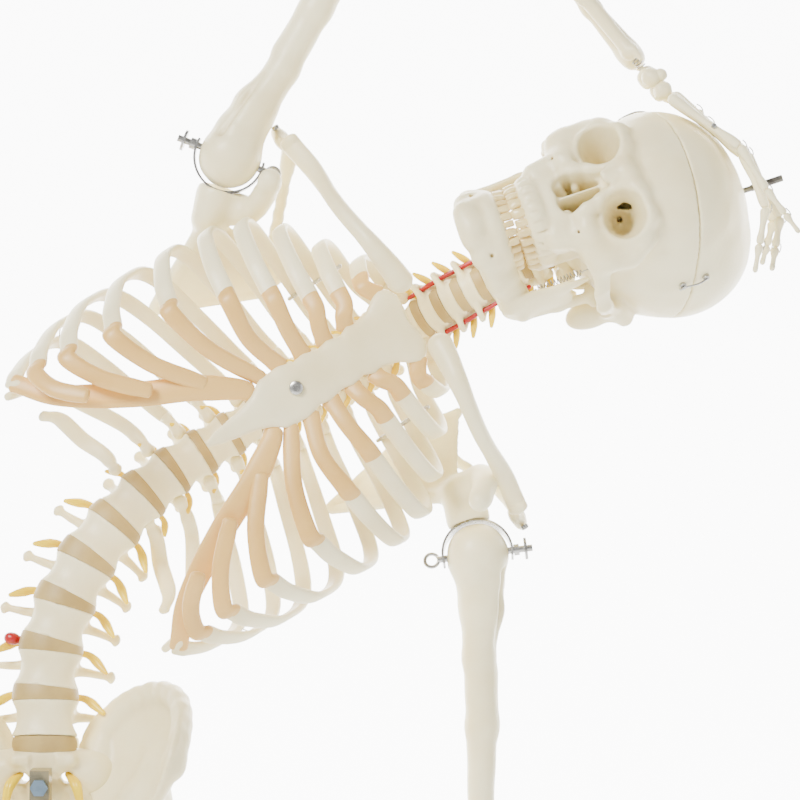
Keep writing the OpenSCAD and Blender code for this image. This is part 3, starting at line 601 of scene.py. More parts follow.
def disc_parts(i, lift=-0.6, low_gap=-0.6):
    """A disc that fills the wedge between two vertebral bodies."""
    angle = 2 * math.pi * np.arange(44) / 44
    round_ = np.stack([np.cos(angle), np.sin(angle), np.zeros(44)], 1)

    def rim(k, up, size, lift_by):
        at = vec(0, 0, up * (body_height(k) / 2 + lift_by))
        half = vec(table_at(k, BODY_WIDE) / 2, table_at(k, BODY_DEEP) / 2, 0) * size
        return moved(round_ * half + at, spine_frame(k))

    rings = []
    for t in np.linspace(0, 1, 9):
        bulge = 0.965 + 0.025 * math.sin(math.pi * t) ** 0.6
        rings.append(lerp(rim(i, 1, bulge, low_gap), rim(i + 1, -1, bulge, lift), t))
    return close_rings(rings)


def nerve_parts(i, side):
    """A nerve root with its swelling, coming out beside disc i and turning down."""
    w, d = table_at(i + 0.5, BODY_WIDE), table_at(i + 0.5, BODY_DEEP)
    size = 1.0 if i < 5 else 0.78
    reach = 17 if i < 5 else 11 if i < NECK_FROM - 1 else 17
    a = vec(side * (w * 0.25 + 4), d / 2 + 3.5, 0)
    c = vec(side * (w / 2 + reach), d * 0.2 + 2, -11 * size)
    b = vec(side * (w / 2 + 3), d * 0.42 + 3, -1)
    path = moved(smooth_path([a, b, c], 7), spine_frame(i + 0.5))
    fat = [[0, 4.2 * size], [0.35, 5.8 * size], [0.6, 7.4 * size], [0.85, 5.6 * size],
           [1, 3.4 * size]]
    return sweep(path, fat, fat, vec(0, 1, 0), 12)


def vertebra_range(name, body, node, first, last):
    make(name, body, [vertebra(i) for i in range(first, last + 1)], BONE, [node])


def build_spine():
    vertebra_range("lower_lumbar_bones", "stand", "lower_lumbar_vertebrae", 0, 1)
    vertebra_range("upper_lumbar_bones", "lumbar", "lumbar_vertebrae", 2, 4)
    vertebra_range("chest_vertebra_bones", "thorax", "thoracic_vertebrae", 5, 16)
    vertebra_range("neck_vertebra_bones", "neck", "cervical_vertebrae", 17, 23)
    for name, body, node, first, last in (
            ("lumbar_disc_pads", "lumbar", "lumbar_discs", 2, 3),
            ("chest_disc_pads", "thorax", "thoracic_discs", 5, 15),
            ("neck_disc_pads", "neck", "cervical_discs", 17, 22)):
        make(name, body, [disc_parts(i) for i in range(first, last + 1)], DISC,
             [node])
    for name, a, b, i in (("loin_flex_disc", "stand", "lumbar", 1),
                          ("waist_flex_disc", "lumbar", "thorax", 4),
                          ("collar_flex_disc", "thorax", "neck", 16)):
        piece = make(name, None, [disc_parts(i)], DISC)
        half = table_at(i + 0.5, DISC_HEIGHT) * 0.5
        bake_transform(piece)
    for name, body, node, first, last in (
            ("lower_nerves", "stand", "lower_nerve_roots", 0, 1),
            ("lumbar_nerves", "lumbar", "lumbar_nerve_roots", 2, 4),
            ("chest_nerves", "thorax", "thoracic_nerve_roots", 5, 16),
            ("neck_nerves", "neck", "cervical_nerve_roots", 17, 22)):
        parts = [nerve_parts(i, s) for i in range(first, last + 1) for s in (-1, 1)]
        if first == 0:
            parts += [sacral_nerve(k, s) for k in range(4) for s in (-1, 1)]
        make(name, body, parts, NERVE, [node])


# ---- stand, sacrum and hip bones ------------------------------------------------

PROMONTORY = LUMBAR_Z - 26
SACRUM = [vec(0, 34, PROMONTORY - 4), vec(0, 46, PROMONTORY - 30), vec(0, 60, PROMONTORY - 60),
          vec(0, 64, PROMONTORY - 88), vec(0, 52, PROMONTORY - 116)]
HIP = vec(88, -4, LUMBAR_Z - 112)
WING_CURVE, WING_THICK = 112, 8.4


def sacral_nerve(k, s):
    at = lerp(SACRUM[int(k * 0.9)], SACRUM[int(k * 0.9) + 1], 0.4)
    a = at + vec(s * (19 - 2 * k), -6, 0)
    path = smooth_path([a, a + vec(s * 6, -11, -7), a + vec(s * 9, -13, -19)], 6)
    return sweep(path, [[0, 4.5], [0.5, 7.0], [1, 3.5]], [[0, 4.5], [0.5, 6.4], [1, 3.5]],
                 vec(0, 1, 0), 12)


def sacrum():
    clay = Clay((-58, 8, PROMONTORY - 136), (58, 98, PROMONTORY + 12), 1.7)
    sizes = [(25, 17, 14), (20, 14, 15), (16, 12, 14), (12, 10, 13), (9, 8, 12)]
    for at, r in zip(SACRUM, sizes):
        clay.ball(at, r, 7)
    clay.slab(SACRUM[0] + vec(0, 0, 1.5), (24, 16, 4.5), 4, 3)
    for s in (-1, 1):
        clay.ball((s * 33, 44, PROMONTORY - 14), (20, 20, 17), 10)
        clay.ball((s * 31, 56, PROMONTORY - 42), (16, 16, 24), 10)
        clay.rod((s * 26, 62, PROMONTORY - 62), (s * 11, 64, PROMONTORY - 98), 10, 7, 8)
        clay.rod((s * 19, 60, PROMONTORY - 2), (s * 19, 62, PROMONTORY + 7), 5, 4, 3)
    for k in range(5):
        clay.rod(lerp(SACRUM[0], SACRUM[4], k / 5) + vec(0, 24, 2),
                 lerp(SACRUM[0], SACRUM[4], k / 5) + vec(0, 30 - k, -7), 5.5, 4, 5)
    for k in range(4):
        hole = lerp(SACRUM[k], SACRUM[k + 1], 0.5)
        for s in (-1, 1):
            clay.rod(hole + vec(s * (18 - 2.4 * k), -24, 0), hole + vec(s * (14 - 2 * k), 30, 0),
                     4.8 - 0.5 * k, 4.0 - 0.5 * k, 3, True)
        clay.rod(hole + vec(-13, -17, 0), hole + vec(13, -17, 0), 2.4, k=2, remove=True)
    clay.ball((0, 66, PROMONTORY), (11, 8, 30), 3, True)
    for k in range(3):
        low = SACRUM[4] + vec(0, -4 - 5 * k, -10 - 8 * k)
        clay.ball(low, (7 - 1.6 * k, 5 - k, 5), 1.5)
    clay.slab((0, 8, PROMONTORY - 34), (10, 12, 46), 2, 1, True)
    clay.ripple(0.4, 23)
    return clay.skin()


def hip_bone(side):
    """The left bone; the right one is its mirror image."""
    clay = Clay((-2, -82, 868), (138, 88, 1124), 2.0)
    normal = unit(vec(-0.83, -0.48, 0.28))
    middle = vec(86, 8, 1054)
    round_at = middle + normal * WING_CURVE
    along = unit(vec(0.5, -0.86, 0))
    upward = unit(np.cross(along, normal) * -1)
    if upward[2] < 0:
        upward = -upward

    def wing(x, y, z):
        dx, dy, dz = x - round_at[0], y - round_at[1], z - round_at[2]
        shell = np.abs(np.sqrt(dx * dx + dy * dy + dz * dz) - WING_CURVE) - WING_THICK / 2
        px, py, pz = x - middle[0], y - middle[1], z - middle[2]
        u = px * along[0] + py * along[1] + pz * along[2]
        v = px * upward[0] + py * upward[1] + pz * upward[2]
        rim = (np.sqrt((u / 74) ** 2 + ((v + 4) / 52) ** 2) - 1) * 52
        return soft_max(shell, rim, 6)

    clay.field((20, -80, 960), (138, 88, 1124), wing, 4)
    crest = []
    for a in np.linspace(-8, 188, 15):
        p = (middle + along * 72 * math.cos(math.radians(a))
             + upward * (-4 + 50 * math.sin(math.radians(a))))
        crest.append(round_at + unit(p - round_at) * WING_CURVE)
    clay.chain(crest, 5.6, 7)
    for p, r in ((crest[0], 8), (crest[-1], 9), (middle + along * 62 - upward * 38, 8)):
        clay.ball(p, r, 8)
    socket = HIP + vec(2, 6, 4)
    clay.ball(socket, 32, 10)
    clay.chain([middle - upward * 10, middle - upward * 42, socket], [9, 17, 22], 14)
    clay.chain([crest[-1] - upward * 6, vec(52, 44, 1022), socket + vec(-10, 14, 14)],
               [8, 9, 14], 12)
    sit = vec(66, 34, LUMBAR_Z - 188)
    pubis = vec(15, -57, LUMBAR_Z - 148)
    clay.chain([socket + vec(-4, 20, -12), sit + vec(0, 2, 10), sit], [15, 12, 15], 8)
    clay.chain([socket + vec(-6, -20, -4), lerp(socket, pubis, 0.6) + vec(0, -8, 6), pubis],
               [10, 7, 9], 7)
    clay.chain([sit + vec(-4, -6, -2), lerp(sit, pubis, 0.55) + vec(-4, 0, -10),
                pubis - vec(0, 0, 12)], [9, 6, 8], 6)
    clay.ball(pubis - vec(2, 0, 5), (10, 9, 18), 5)
    clay.ball(HIP, 24.6, 2, True)
    clay.ball(HIP + vec(26, -4, -12), (24, 26, 27), 5, True)
    clay.rod(HIP + vec(10, 0, 0), HIP - vec(50, 0, 0), 4, k=1, remove=True)
    clay.ripple(0.4, 31)
    return mirror_skin(clay.skin()) if side < 0 else clay.skin()


def build_pelvis():
    make("sacrum_bone", "stand", [sacrum()], BONE, ["sacrum"])
    for side, name in ((1, "left"), (-1, "right")):
        make(name + "_hip_bone_shell", "stand", [hip_bone(side)], BONE,
             [name + "_hip_bone"])
    angle = 2 * math.pi * np.arange(40) / 40
    oval = np.stack([np.cos(angle), np.sin(angle), np.zeros(40)], 1)
    low = shift(SACRUM[0] + vec(0, 0, 6.2)) @ turn_x(-4)
    rings = []
    for t in np.linspace(0, 1, 8):
        size = 0.95 + 0.05 * math.sin(math.pi * t)
        under = moved(oval * vec(24, 16, 0) * size, low)
        over = moved(oval * vec(24, 17, 0) * size - vec(0, 0, body_height(0) / 2 + 0.2),
                     spine_frame(0))
        rings.append(lerp(under, over, t))
    joint = sweep(smooth_path([vec(-3, -58, LUMBAR_Z - 153), vec(3, -58, LUMBAR_Z - 153)], 3),
                  30, 14, vec(0, 0.1, 1), 20, 2.4)
    make("pelvic_disc_pads", "stand", [disc_parts(0), close_rings(rings), joint], DISC,
         ["pelvic_discs"])


# ---- rib cage, in a frame at the top of the breastbone -----------------------------

CAGE_AT = vec(266, 0, LUMBAR_Z + 290)
CAGE = shift(CAGE_AT) @ turn_y(58)
TO_CAGE = np.linalg.inv(CAGE)
RIB_X = [44, 42, 50, 68, 84, 98, 105, 109, 112, 110, 108, 84]
RIB_Z = [-14, -33, -52, -74, -101, -139, -181, -216, -241, -264, -276, -266]
RIB_Y = [-10, -20, -28, -36, -42, -48, -50, -46, -38, -28, 28, 62]
RIB_HALF = [56, 80, 104, 122, 130, 133, 134, 134, 131, 124, 118, 90]
JOIN_X = [26, 18, 17, 17, 19, 19, 40, 56, 76, 15]
JOIN_Z = [-10, -42, -60, -78, -96, -112, -152, -187, -226, -124]


def sternum_y(z):
    return -14 + 0.22 * z


def rib_path(k):
    i = 17 - k
    h = moved(SPINE[i] + heading(i) * table_at(i, PITCH) * 0.1, TO_CAGE)
    w = RIB_HALF[k - 1]
    front = vec(RIB_X[k - 1], RIB_Y[k - 1], RIB_Z[k - 1])
    side = table_at(i, BODY_WIDE) / 2
    head = vec(side + 1.5, h[1] + 7, h[2] + 2)
    if k > 10:
        return [head, vec(side + 14, h[1] + 15, h[2]), vec(54, h[1] + 20, h[2] - 8),
                vec(w * 0.84, lerp(h[1], front[1], 0.4) + 8, lerp(h[2], front[2], 0.6)), front]
    knee = vec(36 if k == 1 else 46, h[1] + 19, h[2] - 4)
    return [head, lerp(head, knee, 0.5) + vec(0, 2, 1), knee,
            vec(w * 0.92, lerp(h[1], front[1], 0.4) + 14, lerp(h[2], front[2], 0.36)),
            vec(w, lerp(h[1], front[1], 0.66), lerp(h[2], front[2], 0.66)),
            vec(lerp(w, front[0], 0.5), lerp(h[1], front[1], 0.9), lerp(h[2], front[2], 0.9)),
            front]


def rib(k, side):
    path = smooth_path(rib_path(k), 9)
    n = len(path)
    up = np.tile(vec(0, 0, 1), (n, 1))
    up[:, 0] += np.sign(path[:, 0]) * np.linspace(0.45, -0.12, n)
    front = 9 if k > 10 else 13.5
    wide = [[0, 10.5], [0.05, 8], [0.12, 11], [0.3, 11.5], [0.75, 12.5], [0.93, front],
            [1, front]]
    thick = [[0, 9], [0.05, 6.5], [0.12, 8.5], [0.25, 6.5], [0.7, 5.6], [1, 6.0]]
    points, faces = sweep(path, wide, thick, up, 18, 2.5)
    wobble = 0.35 * np.sin(points[:, 2:3] * 0.11 + k) * np.sin(points[:, 0:1] * 0.09)
    points = points + wobble
    return flipped_to(moved(mirrored(points, side), CAGE), faces, side)


def flipped_to(points, faces, side):
    return outward(points, faces) if side < 0 else (points, faces)


def cartilage_path(k):
    tip = vec(RIB_X[k - 1], RIB_Y[k - 1], RIB_Z[k - 1])
    e = vec(JOIN_X[k - 1] + 1.5, sternum_y(JOIN_Z[k - 1]), JOIN_Z[k - 1])
    back = rib_path(k)[-2]
    start = tip - 1.5 * unit(tip - back)
    lead = tip + 9 * unit(tip - back)
    if k == 10:
        return [start, vec(86, -36, -240), vec(58, -43, -194), vec(40, -45, -157),
                vec(24, -43, -132), e]
    if k == 1:
        return [start, lead, e]
    if 6 < k < 10:
        e = e + vec(-3, 0.5, 4)
    return [start, lead, lerp(lead, e, 0.5) + vec(0, -2, -5 if k > 4 else -1), e]


def cartilage(k, side):
    path = smooth_path(cartilage_path(k), 9)
    end = 11 if 5 < k < 10 else 14
    middle = 18.5 if k == 10 else 12.6
    wide = [[0, 13.8], [0.08, 13.8], [0.4, middle], [0.85, middle], [1, end]]
    thick = [[0, 6.5], [0.1, 6.8], [0.5, 7.0], [1, 8.4 if k == 10 else 6.0]]
    points, faces = sweep(path, wide, thick, vec(0.05, 0.02, 1), 18, 2.5)
    return flipped_to(moved(mirrored(points, side), CAGE), faces, side)


def sternum():
    """A lofted plate: notched at the top, pinched between rib joints, pointed below."""
    half = [[4, 9], [2, 19], [-2, 27], [-8, 30], [-15, 27], [-24, 21], [-36, 18.5], [-41, 20],
            [-49, 16], [-58, 19], [-67, 16.5], [-77, 20], [-86, 18], [-97, 21.5], [-106, 20.5],
            [-114, 20], [-124, 13], [-134, 9.5], [-148, 7], [-160, 4.5], [-168, 2]]
    rings = []
    angle = 2 * math.pi * np.arange(40) / 40
    c = np.sign(np.cos(angle)) * np.abs(np.cos(angle)) ** 0.8
    s = np.sign(np.sin(angle)) * np.abs(np.sin(angle)) ** 0.7
    zs = np.r_[4.5, np.linspace(4, -168, 70)]
    for j, z in enumerate(zs):
        w = table_at(-z, [[-r[0], r[1]] for r in half])
        t = 5.6 if z > -120 else 5.6 - (-120 - z) * 0.07
        if j == 0:
            w, t = w * 0.7, t * 0.6
        notch = 5.5 * np.exp(-(c * w / 11) ** 2) * (1 if z > -1 else 0)
        x = c * w
        y = sternum_y(z) + s * t - 1.6 * np.cos(x / 26) + 0.4 * np.sin(z * 0.16)
        rings.append(np.stack([x, y, np.full(40, z) - notch * max(0, (z + 2) / 6)], 1))
    points, faces = close_rings(rings)
    points = moved(points, CAGE)
    return points, faces


def clavicle(side):
    path = smooth_path([(27, -17, 9), (40, -23, 8), (62, -29, 5), (96, -10, 0), (128, 18, -1),
                        (150, 33, -4), (158, 34, -5)], 7)
    wide = [[0, 19], [0.1, 17], [0.3, 12.5], [0.62, 11.5], [0.82, 14.5], [1, 15]]
    thick = [[0, 17], [0.1, 15], [0.3, 12], [0.62, 11], [0.82, 9], [1, 8]]
    points, faces = sweep(path, wide, thick, vec(0, -0.3, 1), 18, 2.2)
    return flipped_to(moved(mirrored(points, side), CAGE), faces, side)


SHOULDER = vec(171, 38, -48)
HEAD_R = 22.5


def head_at(s):
    return moved(SHOULDER * vec(s, 1, 1), CAGE)


# the open yoke's own upward direction, on each side
YOKE_Z = {1: unit([-0.118, 0.38, 0.92]), -1: unit([-0.36, 0, -0.93])}


def scapula(s):
    """A shoulder blade: a thin triangle with its ridge, roof, beak and socket."""
    left = s > 0
    neck = vec(126, 52, -36) if left else vec(142, 48, -84)
    upper = vec(76, 90, -2) if left else vec(82, 90, -34)
    lower = vec(86, 112, -128) if left else vec(110, 104, -160)
    edge = vec(70, 106, -44) if left else vec(78, 106, -84)
    tip = vec(161, 48, -10)
    clay = Clay((54, -6, -178), (190, 132, 22), 1.7)
    normal = unit(np.cross(upper - lower, neck - lower))
    corners = [neck, upper, edge, lower]
    middle = sum(corners) / 4

    def blade(x, y, z):
        dx, dy, dz = x - middle[0], y - middle[1], z - middle[2]
        flat = dx * normal[0] + dy * normal[1] + dz * normal[2]
        far = (dx * dx + dy * dy + dz * dz) - flat * flat
        d = np.abs(flat + 2.5 - far * 0.0011) - 1.9
        for a, b in zip(corners, corners[1:] + corners[:1]):
            n = unit(np.cross(b - a, normal))
            if n @ (middle - a) > 0:
                n = -n
            d = soft_max(d, dx * n[0] + dy * n[1] + dz * n[2] - n @ (a - middle), 5)
        return d

    clay.field((54, 20, -176), (170, 130, 20), blade, 2)
    for a, b in ((upper, edge), (edge, lower), (lower, neck)):
        clay.rod(lerp(a, b, 0.05), lerp(a, b, 0.95), 3.4, 3.4 if b is not neck else 6, 3)
    ridge = [edge, lerp(edge, tip, 0.4) + vec(0, 12, 6), lerp(edge, tip, 0.75) + vec(0, 16, 8),
             vec(156, 66, -6)]
    clay.chain(smooth_path(ridge, 4), [4] * 3 + [5] * 6 + [6.5] * 4, 3,
               squash=((0, 0, 1), 0.7))
    clay.chain(smooth_path([lerp(edge, neck, 0.2), lerp(edge, neck, 0.9)], 3) + vec(0, 6, 2),
               5, 5, squash=((0, 0, 1), 0.5))
    clay.chain([vec(150, 70, -6), vec(164, 56, -8), tip], [7.5, 9, 8], 5,
               squash=((0.2, 0.1, 1), 0.55))
    beak = ([neck + vec(0, 0, 6), vec(126, 34, -14), vec(133, 14, -20), vec(138, 4, -27)] if left
            else [neck + vec(0, 0, 14), vec(130, 38, -54), vec(136, 16, -36), vec(140, 6, -31)])
    clay.chain(smooth_path(beak, 4), [10] * 4 + [7.5] * 4 + [6.5] * 5, 5)
    ball = moved(head_at(s), TO_CAGE) * vec(s, 1, 1)
    face = ball + unit(neck - ball) * (HEAD_R + 7)
    clay.rod(neck, face, 13, 15, 8)
    stem = (TO_CAGE[:3, :3] @ YOKE_Z[s]) * vec(s, 1, 1)
    clay.rod(ball + stem * (HEAD_R + 6), ball + stem * (HEAD_R + 24), 11, 10, 8)
    clay.ball(ball, HEAD_R + 4.6, 2, True)
    clay.ripple(0.25, 27)
    points, quads = clay.skin()
    points = points * vec(s, 1, 1)
    if s < 0:
        quads = quads[:, ::-1]
    return moved(points, CAGE), quads


def screw(at, direction, r, head_h):
    """A pan-head screw with a crossed recess."""
    m = place(at, direction, vec(0.3, 0.9, 0.2))
    rings = []
    angle = 2 * math.pi * np.arange(28) / 28
    for rr, z in ((r * 0.98, -1.0), (r, 0.0), (r, head_h * 0.45), (r * 0.9, head_h * 0.8),
                  (r * 0.6, head_h), (r * 0.32, head_h), (r * 0.28, head_h * 0.4)):
        square = 1 + (0.25 * np.abs(np.cos(2 * angle)) if rr < r * 0.4 else 0)
        rings.append(moved(np.stack([np.cos(angle) * rr * square, np.sin(angle) * rr * square,
                                     np.full(28, z)], 1), m))
    return close_rings(rings)


def wire(points, d, sides=8):
    path = smooth_path(points, 5) if len(points) > 2 else np.array(points, float)
    return sweep(path, d, d, vec(0.13, 0.31, 0.94), sides)


def build_chest():
    for s, name in ((1, "left"), (-1, "right")):
        make(name + "_rib_bones", "thorax", [rib(k, s) for k in range(1, 13)], BONE,
             [name + "_ribs"])
        make(name + "_rib_cartilages", "thorax",
             [cartilage(k, s) for k in range(1, 11)], CARTILAGE,
             [name + "_costal_cartilages"])
        make(name + "_collar_bone", "thorax", [clavicle(s)], BONE, [name + "_clavicle"])
        make(name + "_shoulder_blade", "thorax", [scapula(s)], BONE, [name + "_scapula"])
    make("breastbone", "thorax", [sternum()], BONE, ["sternum"])
    screws = [screw(moved((-1, sternum_y(-94) - 7.4, -94), CAGE), -CAGE[:3, 1], 5.2, 3.2)]
    for s in (-1, 1):
        for k in range(1, 13):
            path = smooth_path(rib_path(k), 9)
            p = mirrored(path[12], s)
            if k > 1:
                screws.append(screw(moved(p + vec(0, 4.2, 0), CAGE), CAGE[:3, 1], 2.2, 1.4))
        screws.append(screw(moved((s * 172, 46, -8), CAGE), s * CAGE[:3, 0], 3.0, 2.2))
        screws.append(sweep(moved(mirrored(smooth_path([(60, 12, -22), (61, 45, -44),
                                                        (62, 80, -66)], 4), s), CAGE),
                            3.2, 3.2, vec(1, 0, 0), 10))
    ties = []
    for s in (-1, 1):
        for k in (8, 9, 10):
            a = smooth_path(rib_path(k), 9)[34]
            b = smooth_path(rib_path(k + 1), 9)
            b = b[min(30, len(b) - 6)]
            ties.append(wire(moved(mirrored([a, lerp(a, b, 0.5) + vec(3, -2, 0), b], s), CAGE),
                             0.9, 6))
    make("chest_screws_and_ties", "thorax", screws + ties, STEEL, ["thorax_screws"])


# ---- skull, in a frame at its condyles: +X left, +Y back, +Z to the crown ---------

SKULL_AT = vec(386, 27, LUMBAR_Z + 347)
SKULL_SCALE = 0.97
SKULL = shift(SKULL_AT) @ turn_y(71.6) @ turn_z(-22) @ np.diag([SKULL_SCALE] * 3 + [1])
CUT_SIN, CUT_COS = math.sin(math.radians(18.5)), math.cos(math.radians(18.5))
CUT_Z = 64
CUT_SLOPE = 0.3346
VAULT = [((0, -2, 66), (72, 90, 65)), ((0, 12, 68), (73, 74, 62)),
         ((0, -28, 69), (61, 62, 57)), ((0, 40, 46), (54, 47, 44)),
         ((30, 10, 78), (42, 58, 46)), ((-30, 10, 78), (42, 58, 46))]
WALL = 7.5
ARCH_Y = -66


def arch_point(far, r, z):
    """A point on a dental arch, far along it from the middle (left is positive)."""
    quarter = r * math.pi / 2
    side = math.copysign(1, far)
    if abs(far) < quarter:
        a = abs(far) / r
        return vec(side * r * math.sin(a), ARCH_Y - r * math.cos(a) * 1.04, z), side * a
    extra = abs(far) - quarter
    return vec(side * (r + extra * 0.08), ARCH_Y + extra, z), side * math.pi / 2


def above_plane(gap, sign):
    def func(x, y, z):
        return sign * (y * CUT_SIN + (z - CUT_Z) * CUT_COS - sign * gap) + 0 * x
    return func


def vault_clay(clay, grow, remove=False, k=10):
    for at, r in VAULT:
        clay.ball(at, np.array(r) + grow, k, remove)


def cranium():
    clay = Clay((-80, -106, -52), (80, 98, 108), 1.45)
    vault_clay(clay, 0)
    clay.ball((0, -6, 18), (49, 62, 27), 12)
    clay.ball((0, -62, 20), (30, 26, 30), 9)
    clay.ball((0, -67, -12), (33, 26, 26), 9)
    for s in (-1, 1):
        clay.ball((s * 34, -50, 24), (16, 17, 27), 9)
        clay.chain([(0, -91, 46), (s * 19, -90, 50), (s * 36, -84, 52), (s * 46, -74, 45)],
                   [8, 6.5, 6, 6], 7)
        clay.chain([(s * 46, -74, 46), (s * 51, -67, 32), (s * 50, -66, 16)], [6, 5.2, 7], 5)
        clay.ball((s * 46, -67, 9), (13, 14, 14), 8)
        clay.chain([(s * 50, -64, 7), (s * 63, -44, 4), (s * 67, -24, 4), (s * 61, 0, 6)],
                   [10, 6.4, 5.6, 6.5], 5, squash=((1, 0, 0.1), 0.6))
        clay.chain([(s * 8, -91, 40), (s * 13, -89, 24), (s * 17, -87, 6)], [5, 4.5, 6], 5)
        clay.chain([(s * 14, -88, 12), (s * 28, -85, 7), (s * 43, -75, 12)], [5, 5, 6], 5)
        clay.chain([(s * 30, -76, 4), (s * 27, -80, -16)], [11, 8], 9)
        clay.ball((s * 51, 18, -5), (11, 14, 20), 8)
        clay.rod((s * 55, 8, 10), (s * 58, 30, 18), 8, 7, 8)
        clay.rod((s * 24, -44, 2), (s * 25, -40, -30), 11, 8, 6, squash=((1, 0, 0), 0.5))
        clay.ball((s * 14, -3, -5), (6, 11, 6), 3)
        clay.rod((s * 35, 4, -2), (s * 31, -4, -26), 3.2, 1.3, 2)
    clay.chain([(0, -91, 46), (0, -95, 36), (0, -101, 23)], [5.5, 5.2, 3.6], 4,
               squash=((0, 1, 0.4), 0.8))
    ridge = [arch_point(f, 23.6, -26)[0] for f in np.linspace(-56, 56, 23)]
    clay.chain(ridge, 6.0, 5)
    clay.ball((0, -60, -24), (24, 26, 7), 5)
    for s in (-1, 1):
        clay.ball((s * 84, -50, 34), (21, 33, 38), 10, True)
        clay.ball((s * 56, -58, -20), (19, 26, 19), 9, True)
        clay.ball((s * 26, -101, -6), (9, 10, 11), 6, True)
        clay.rod((s * 6, -112, 0), (s * 5.5, -62, 3), 9.6, 8.6, 3, True)
        clay.rod((s * 4, -112, 12), (s * 4, -62, 12), 8.2, 7.6, 3, True)
        clay.ball((s * 31, -88, 0), (1.3, 6, 1.3), 1, True)
        clay.ball((s * 64, -2, 3), (7, 3.6, 3.6), 2, True)
        clay.rod((s * 48, -10, -8), (s * 48, -10, 1), 5, 5, 4, True)
    clay.rod((0, -112, 23), (0, -64, 18), 6.4, 6.4, 4, True)
    clay.ball((0, -42, -40), (19, 26, 20), 3, True)
    vault_clay(clay, -WALL, True, 4)
    clay.rod((0, 12, -34), (0, 10, 30), 16, 17, 3, True)
    clay.slab((0.8, -70, 8), (1.1, 16, 20), 0.9, 3)
    for s in (-1, 1):
        clay.rod((s * 33, -76, 34), (s * 22, -54, 33), 17, 12, 9)
        clay.chain([(s * 50, -72, 40), (s * 52, -66, 30), (s * 50, -68, 18)], [7, 7, 9], 8)
        clay.rod((s * 34.5, -108, 35), (s * 22.5, -58, 34), 24.5, 9, 3, True,
                 ((0, 0, 1), 0.86))
        clay.rod((s * 21, -62, 34), (s * 13, -44, 34), 2.4, 2.4, 1.5, True)
        clay.chain([(s * 27, -66, 27), (s * 31, -64, 31)], [1.3, 1.0], 1, True)
        clay.chain([(s * 12, -80, -3), (s * 9, -68, -2), (s * 9, -58, 0)], [3.2, 3.6, 3.4], 4)
        clay.chain([(s * 9, -74, 9), (s * 8, -62, 10)], [2.8, 3.2], 4)
    clay.ball((0, -56, 8), (17, 4, 24), 4)
    for f in np.linspace(-50, 50, 13):
        p, a = arch_point(f, 30.2, -29)
        clay.rod(p, p + vec(-0.5 * math.sin(a), 0.5 * math.cos(a), 8), 0.9, 0.6, 2.5, True)
    clay.ripple(0.3, 33)
    clay.field((-80, -106, 20), (80, 98, 108), above_plane(0.3, -1), 0.5, True)
    return clay.skin(SKULL)


def calvarium():
    clay = Clay((-78, -98, 20), (78, 98, 144), 1.55)
    vault_clay(clay, 0)
    vault_clay(clay, -WALL, True, 4)
    clay.ripple(0.3, 33)
    clay.field((-78, -98, 20), (78, 98, 144), above_plane(0.3, 1), 0.5, True)
    return clay.skin(SKULL)


def outer_point(direction):
    """Where a ray from the middle of the braincase leaves it."""
    origin = vec(0, 0, 66)
    d = unit(direction)
    far = 0.0
    for at, r in VAULT:
        o = (origin - np.array(at)) / r
        q = d / np.array(r)
        a, b, c = q @ q, 2 * o @ q, o @ o - 1
        root = b * b - 4 * a * c
        if root > 0:
            far = max(far, (-b + math.sqrt(root)) / (2 * a))
    return origin + d * (far + 0.5)


TEETH_WIDE = [8.2, 6.6, 7.4, 6.8, 6.8, 9.4, 9.0, 7.6]
TEETH_DEEP = [6.2, 6.0, 7.4, 8.4, 8.6, 10.2, 10.0, 9.0]
TEETH_LONG = [12.4, 11.8, 12.6, 11.6, 11.2, 10.8, 10.4, 9.6]


def tooth(at, angle, wide, deep, long, up, kind):
    """A crown with its cutting edge or cusps; up is +1 for the lower jaw."""
    turn = turn_z(math.degrees(angle))
    rings = []
    a = 2 * math.pi * np.arange(18) / 18
    rows = [(-0.55, 0.62, 0.7), (-0.3, 0.74, 0.9), (0.0, 0.84, 1.0), (0.35, 0.97, 0.94),
            (0.68, 1.0, 0.72), (0.88, 0.96, 0.5), (0.98, 0.82, 0.3)]
    for z, fw, fd in rows:
        if kind == "molar":
            fd = max(fd, 0.86 - 0.5 * max(z - 0.7, 0))
        if kind == "canine" and z > 0.5:
            fw *= 1 - (z - 0.5) * 1.0
        c = np.sign(np.cos(a)) * np.abs(np.cos(a)) ** 0.75
        s = np.sign(np.sin(a)) * np.abs(np.sin(a)) ** 0.85
        x = c * wide / 2 * fw
        y = s * deep / 2 * fd
        lift = 0.0
        if kind == "molar" and z > 0.8:
            lift = 0.5 * np.cos(2 * a) + 0.3 * np.cos(4 * a)
        height = up * (z * long * 0.62 + lift) + 0 * x
        rings.append(moved(np.stack([x, y, height], 1),
                           shift(at) @ turn))
    return close_rings(rings)


def teeth(r, z, up, shrink):
    parts = []
    for s in (-1, 1):
        far = 0.0
        for k in range(8):
            w = TEETH_WIDE[k] * shrink * (0.8 if up > 0 and k < 2 else 1.0)
            p, a = arch_point(s * (far + w / 2), r, z)
            far += w
            kind = "cutter" if k < 2 else "canine" if k == 2 else "molar"
            deep = TEETH_DEEP[k] * 0.92
            part = tooth(p, a, w * 0.97, deep, TEETH_LONG[k], up, kind)
            parts.append((moved(part[0], SKULL), part[1]))
    return parts


